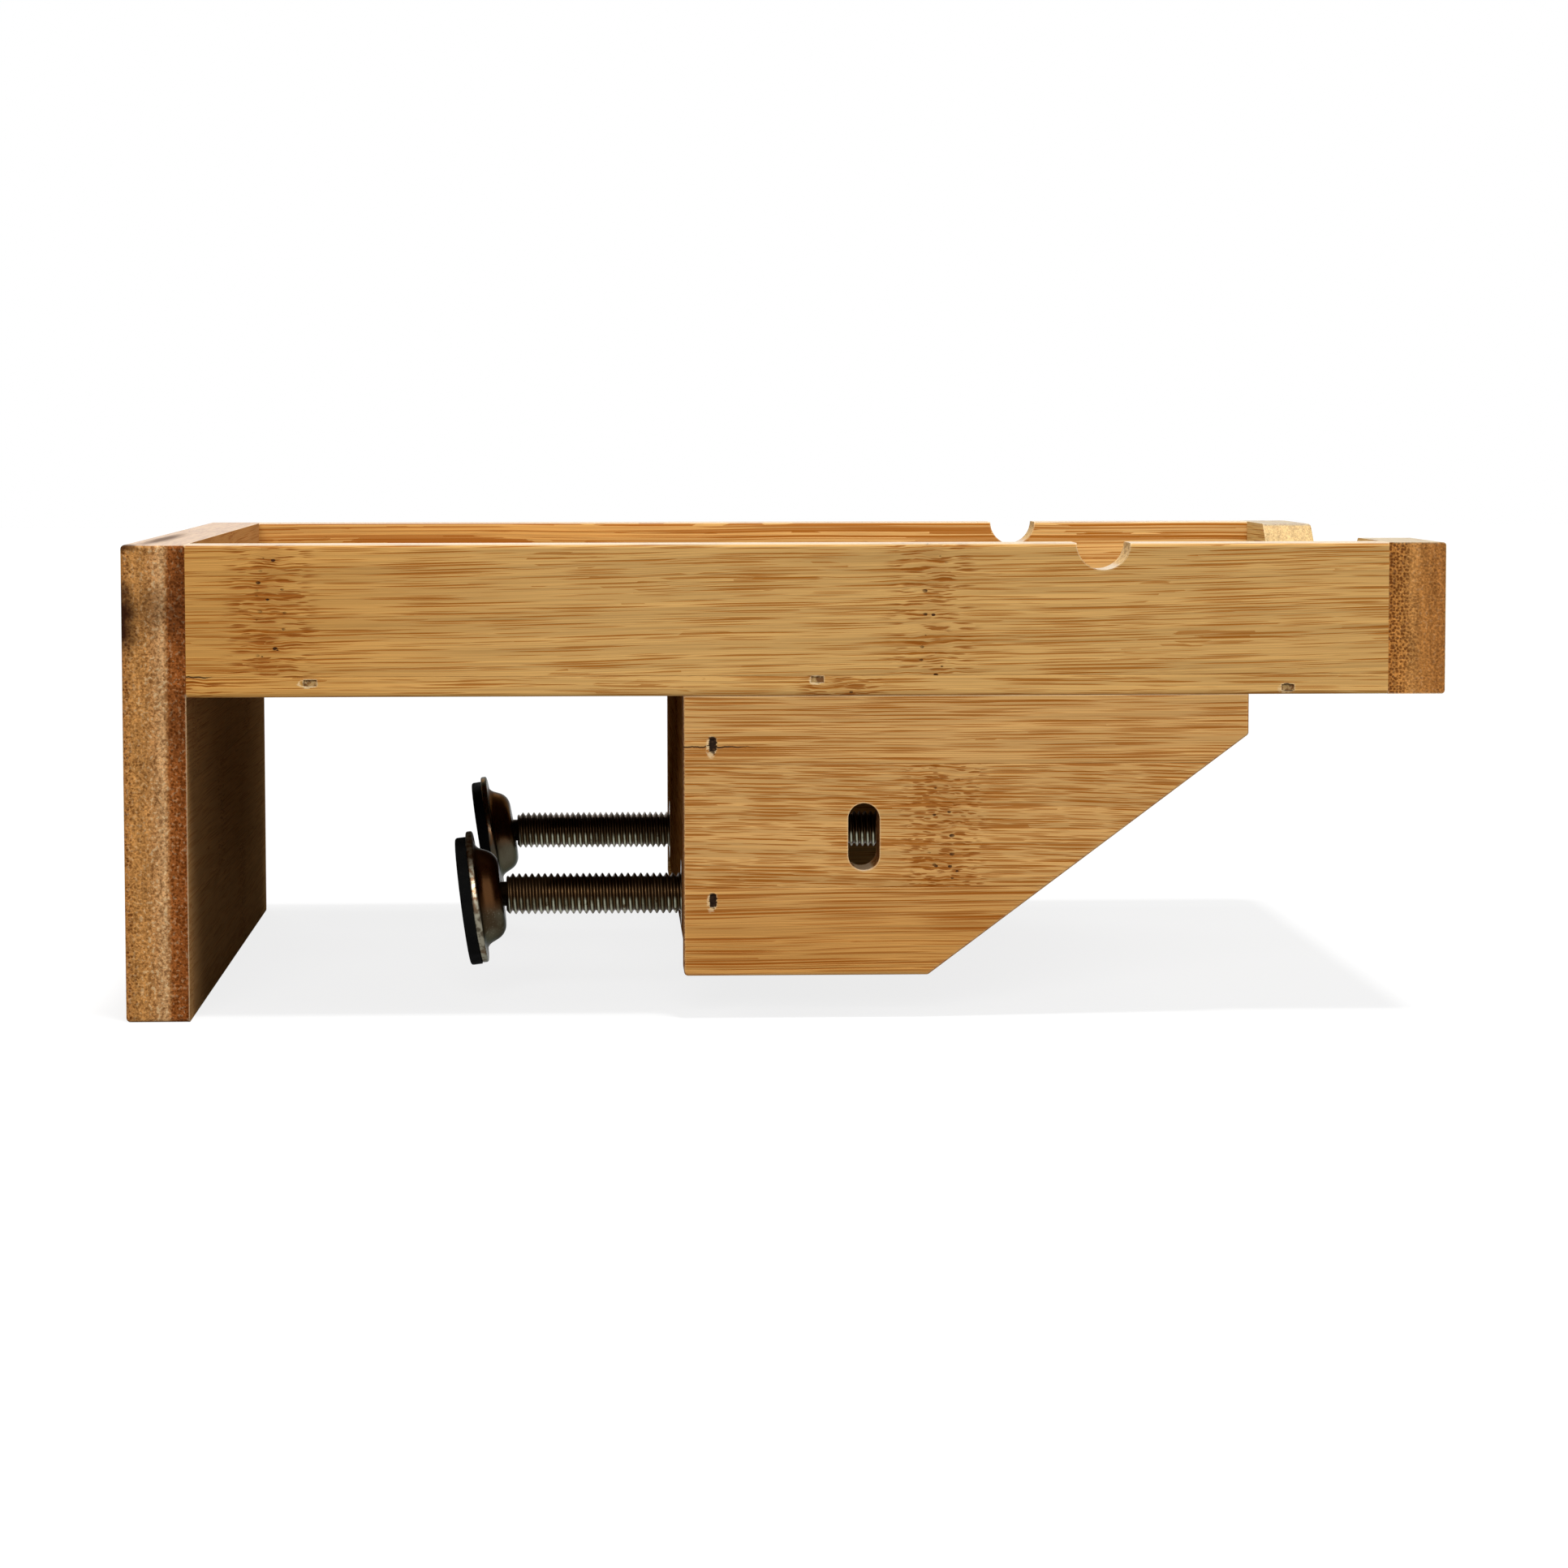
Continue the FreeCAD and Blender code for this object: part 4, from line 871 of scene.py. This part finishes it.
def clampScrew(side, threads):
    s = screwSizes
    low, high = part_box(f"{side}_screw")
    axis = Vector((0, (low[1] + high[1]) / 2, (low[2] + high[2]) / 2))
    headStart = high[0] - s["headLength"]
    footEnd = headStart - s["threadLength"]  # where the thread starts
    mesh = grown(
        f"{side}_thread", threads, Length=s["threadLength"], Radius=s["threadRadius"], Depth=s["threadDepth"],
        Pitch=s["pitch"], Chamfer=s["chamfer"], Around=s["around"],
        Rings=round(s["threadLength"] / s["pitch"] * s["ringsPerTurn"]),
        Foot=(footEnd, axis.y, axis.z), Steel=metals["threadSteel"])
    shape = bmesh.new()
    shape.from_mesh(mesh)
    pinEnd = footEnd + s["overlap"]
    pinRound = 0.5 * s["rivetHeight"]
    easeX, easeRadius = s["rivetEase"]
    turnedShell(shape, axis, [
        (low[0], 0), (low[0], s["rivetRadius"] - pinRound), (low[0] + easeX, s["rivetRadius"] - easeRadius),
        (low[0] + pinRound, s["rivetRadius"]), (low[0] + s["rivetHeight"], s["rivetRadius"]),
        (low[0] + s["rivetHeight"], s["pinRadius"]), (pinEnd, s["pinRadius"]), (pinEnd, 0),
    ], s["around"], s["pinHighlight"])
    turnedShell(shape, axis, [
        (headStart, 0), (headStart, s["headRadius"] - s["headChamfer"]),
        (headStart + s["headChamfer"], s["headRadius"]), (high[0] - s["headChamfer"], s["headRadius"]),
        (high[0], s["headRadius"] - s["headChamfer"]), (high[0], 0),
    ], s["around"], s["headHighlight"])
    shape.to_mesh(mesh)
    shape.free()
    mesh.materials.clear()
    mesh.materials.append(metals["threadSteel"])
    piece = bpy.data.objects.new(f"{side}_screw_threaded", mesh)
    scene.collection.objects.link(piece)
    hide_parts(f"{side}_screw")
    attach(piece, f"{side}_clamp_screw")
    print(piece.name, len(mesh.polygons), "faces")


screwThread = threadTree()
for side in ("near", "far"):
    clampScrew(side, screwThread)


# Floor, light and camera

floorLook = {"size": 8.0, "lit": (0.80, 0.80, 0.80, 1), "bounce": (0.20, 0.20, 0.20, 1), "glow": 0.82}
lightLooks = {
    "topLight": {"aim": (-0.08, 0.14, -1.0), "strength": 2.6, "angle": 6.0},
    "frontLight": {"aim": (0.06, 0.93, -0.36), "strength": 2.1, "angle": 26.0},
    "leftLight": {"aim": (1.0, 0.1, -0.8), "strength": 1.1, "angle": 30.0},
    "rightLight": {"aim": (-1.0, 0.1, -0.8), "strength": 1.1, "angle": 30.0},
    "backLight": {"aim": (0.1, -1.0, -0.8), "strength": 0.75, "angle": 30.0},
}
worldFill = 0.09
cameraLook = {
    "place": (-35.95 * mm, -930.69 * mm, 112.06 * mm), "heading": 2.42, "pitch": -4.623, "roll": -0.057,
    "focalPixels": 5454.7, "imagePixels": 1932, "sensor": 36.0,
}


def seenMask(tree):
    # 1 for what the camera sees, straight or in metal and glass
    path = tree.nodes.new("ShaderNodeLightPath").outputs
    either = calc(tree, "MAXIMUM", path["Is Camera Ray"], path["Is Glossy Ray"])
    return calc(tree, "MAXIMUM", either, path["Is Transmission Ray"])


def paleFloor():
    material = bpy.data.materials.new("paleFloor")
    material.use_nodes = True
    tree = material.node_tree
    tree.nodes.remove(tree.nodes["Principled BSDF"])
    lit, bounce = tree.nodes.new("ShaderNodeBsdfDiffuse"), tree.nodes.new("ShaderNodeBsdfDiffuse")
    lit.inputs["Color"].default_value = floorLook["lit"]
    bounce.inputs["Color"].default_value = floorLook["bounce"]
    glow = tree.nodes.new("ShaderNodeEmission")
    glow.inputs["Strength"].default_value = 1.0
    seen, either = tree.nodes.new("ShaderNodeMixShader"), tree.nodes.new("ShaderNodeMixShader")
    seen.inputs[0].default_value = floorLook["glow"]
    tree.links.new(lit.outputs[0], seen.inputs[1])
    tree.links.new(glow.outputs[0], seen.inputs[2])
    feed(tree, either.inputs[0], seenMask(tree))
    tree.links.new(bounce.outputs[0], either.inputs[1])
    tree.links.new(seen.outputs[0], either.inputs[2])
    tree.links.new(either.outputs[0], tree.nodes["Material Output"].inputs["Surface"])
    mesh = bpy.data.meshes.new("floor")
    half = floorLook["size"] / 2
    corners = [(-half, -half, 0), (half, -half, 0), (half, half, 0), (-half, half, 0)]
    mesh.from_pydata(corners, [], [(0, 1, 2, 3)])
    mesh.materials.append(material)
    floor = bpy.data.objects.new("floor", mesh)
    scene.collection.objects.link(floor)


def light(name, look):
    lamp = bpy.data.lights.new(name, "SUN")
    lamp.energy = look["strength"]
    lamp.angle = math.radians(look["angle"])
    holder = bpy.data.objects.new(name, lamp)
    holder.rotation_euler = Vector(look["aim"]).to_track_quat("-Z", "Y").to_euler()
    scene.collection.objects.link(holder)


def paleWorld():
    world = bpy.data.worlds.new("paleWorld")
    world.use_nodes = True
    scene.world = world
    tree = world.node_tree
    shown, fill = tree.nodes["Background"], tree.nodes.new("ShaderNodeBackground")
    shown.inputs["Color"].default_value = (1, 1, 1, 1)
    shown.inputs["Strength"].default_value = 1.0
    fill.inputs["Color"].default_value = (1, 1, 1, 1)
    fill.inputs["Strength"].default_value = worldFill
    mix = tree.nodes.new("ShaderNodeMixShader")
    feed(tree, mix.inputs[0], seenMask(tree))
    tree.links.new(fill.outputs[0], mix.inputs[1])
    tree.links.new(shown.outputs[0], mix.inputs[2])
    tree.links.new(mix.outputs[0], tree.nodes["World Output"].inputs["Surface"])


def photoCamera():
    look = cameraLook
    heading, pitch, roll = (math.radians(look[key]) for key in ("heading", "pitch", "roll"))
    level = math.cos(pitch)
    forward = Vector((math.sin(heading) * level, math.cos(heading) * level, math.sin(pitch)))
    right = forward.cross(Vector((0, 0, 1))).normalized()
    up = right.cross(forward)
    rolledRight = right * math.cos(roll) + up * math.sin(roll)
    rolledUp = up * math.cos(roll) - right * math.sin(roll)
    lens = bpy.data.cameras.new("photoCamera")
    lens.sensor_width = look["sensor"]
    lens.sensor_fit = "HORIZONTAL"
    lens.lens = look["focalPixels"] / look["imagePixels"] * look["sensor"]
    camera = bpy.data.objects.new("photoCamera", lens)
    turn = Matrix((rolledRight, rolledUp, -forward)).transposed().to_4x4()
    camera.matrix_world = Matrix.Translation(look["place"]) @ turn
    scene.collection.objects.link(camera)
    scene.camera = camera


paleFloor()
for name, look in lightLooks.items():
    light(name, look)
paleWorld()
photoCamera()
scene.view_settings.view_transform = "Standard"
print("stage: floor, lights and camera")
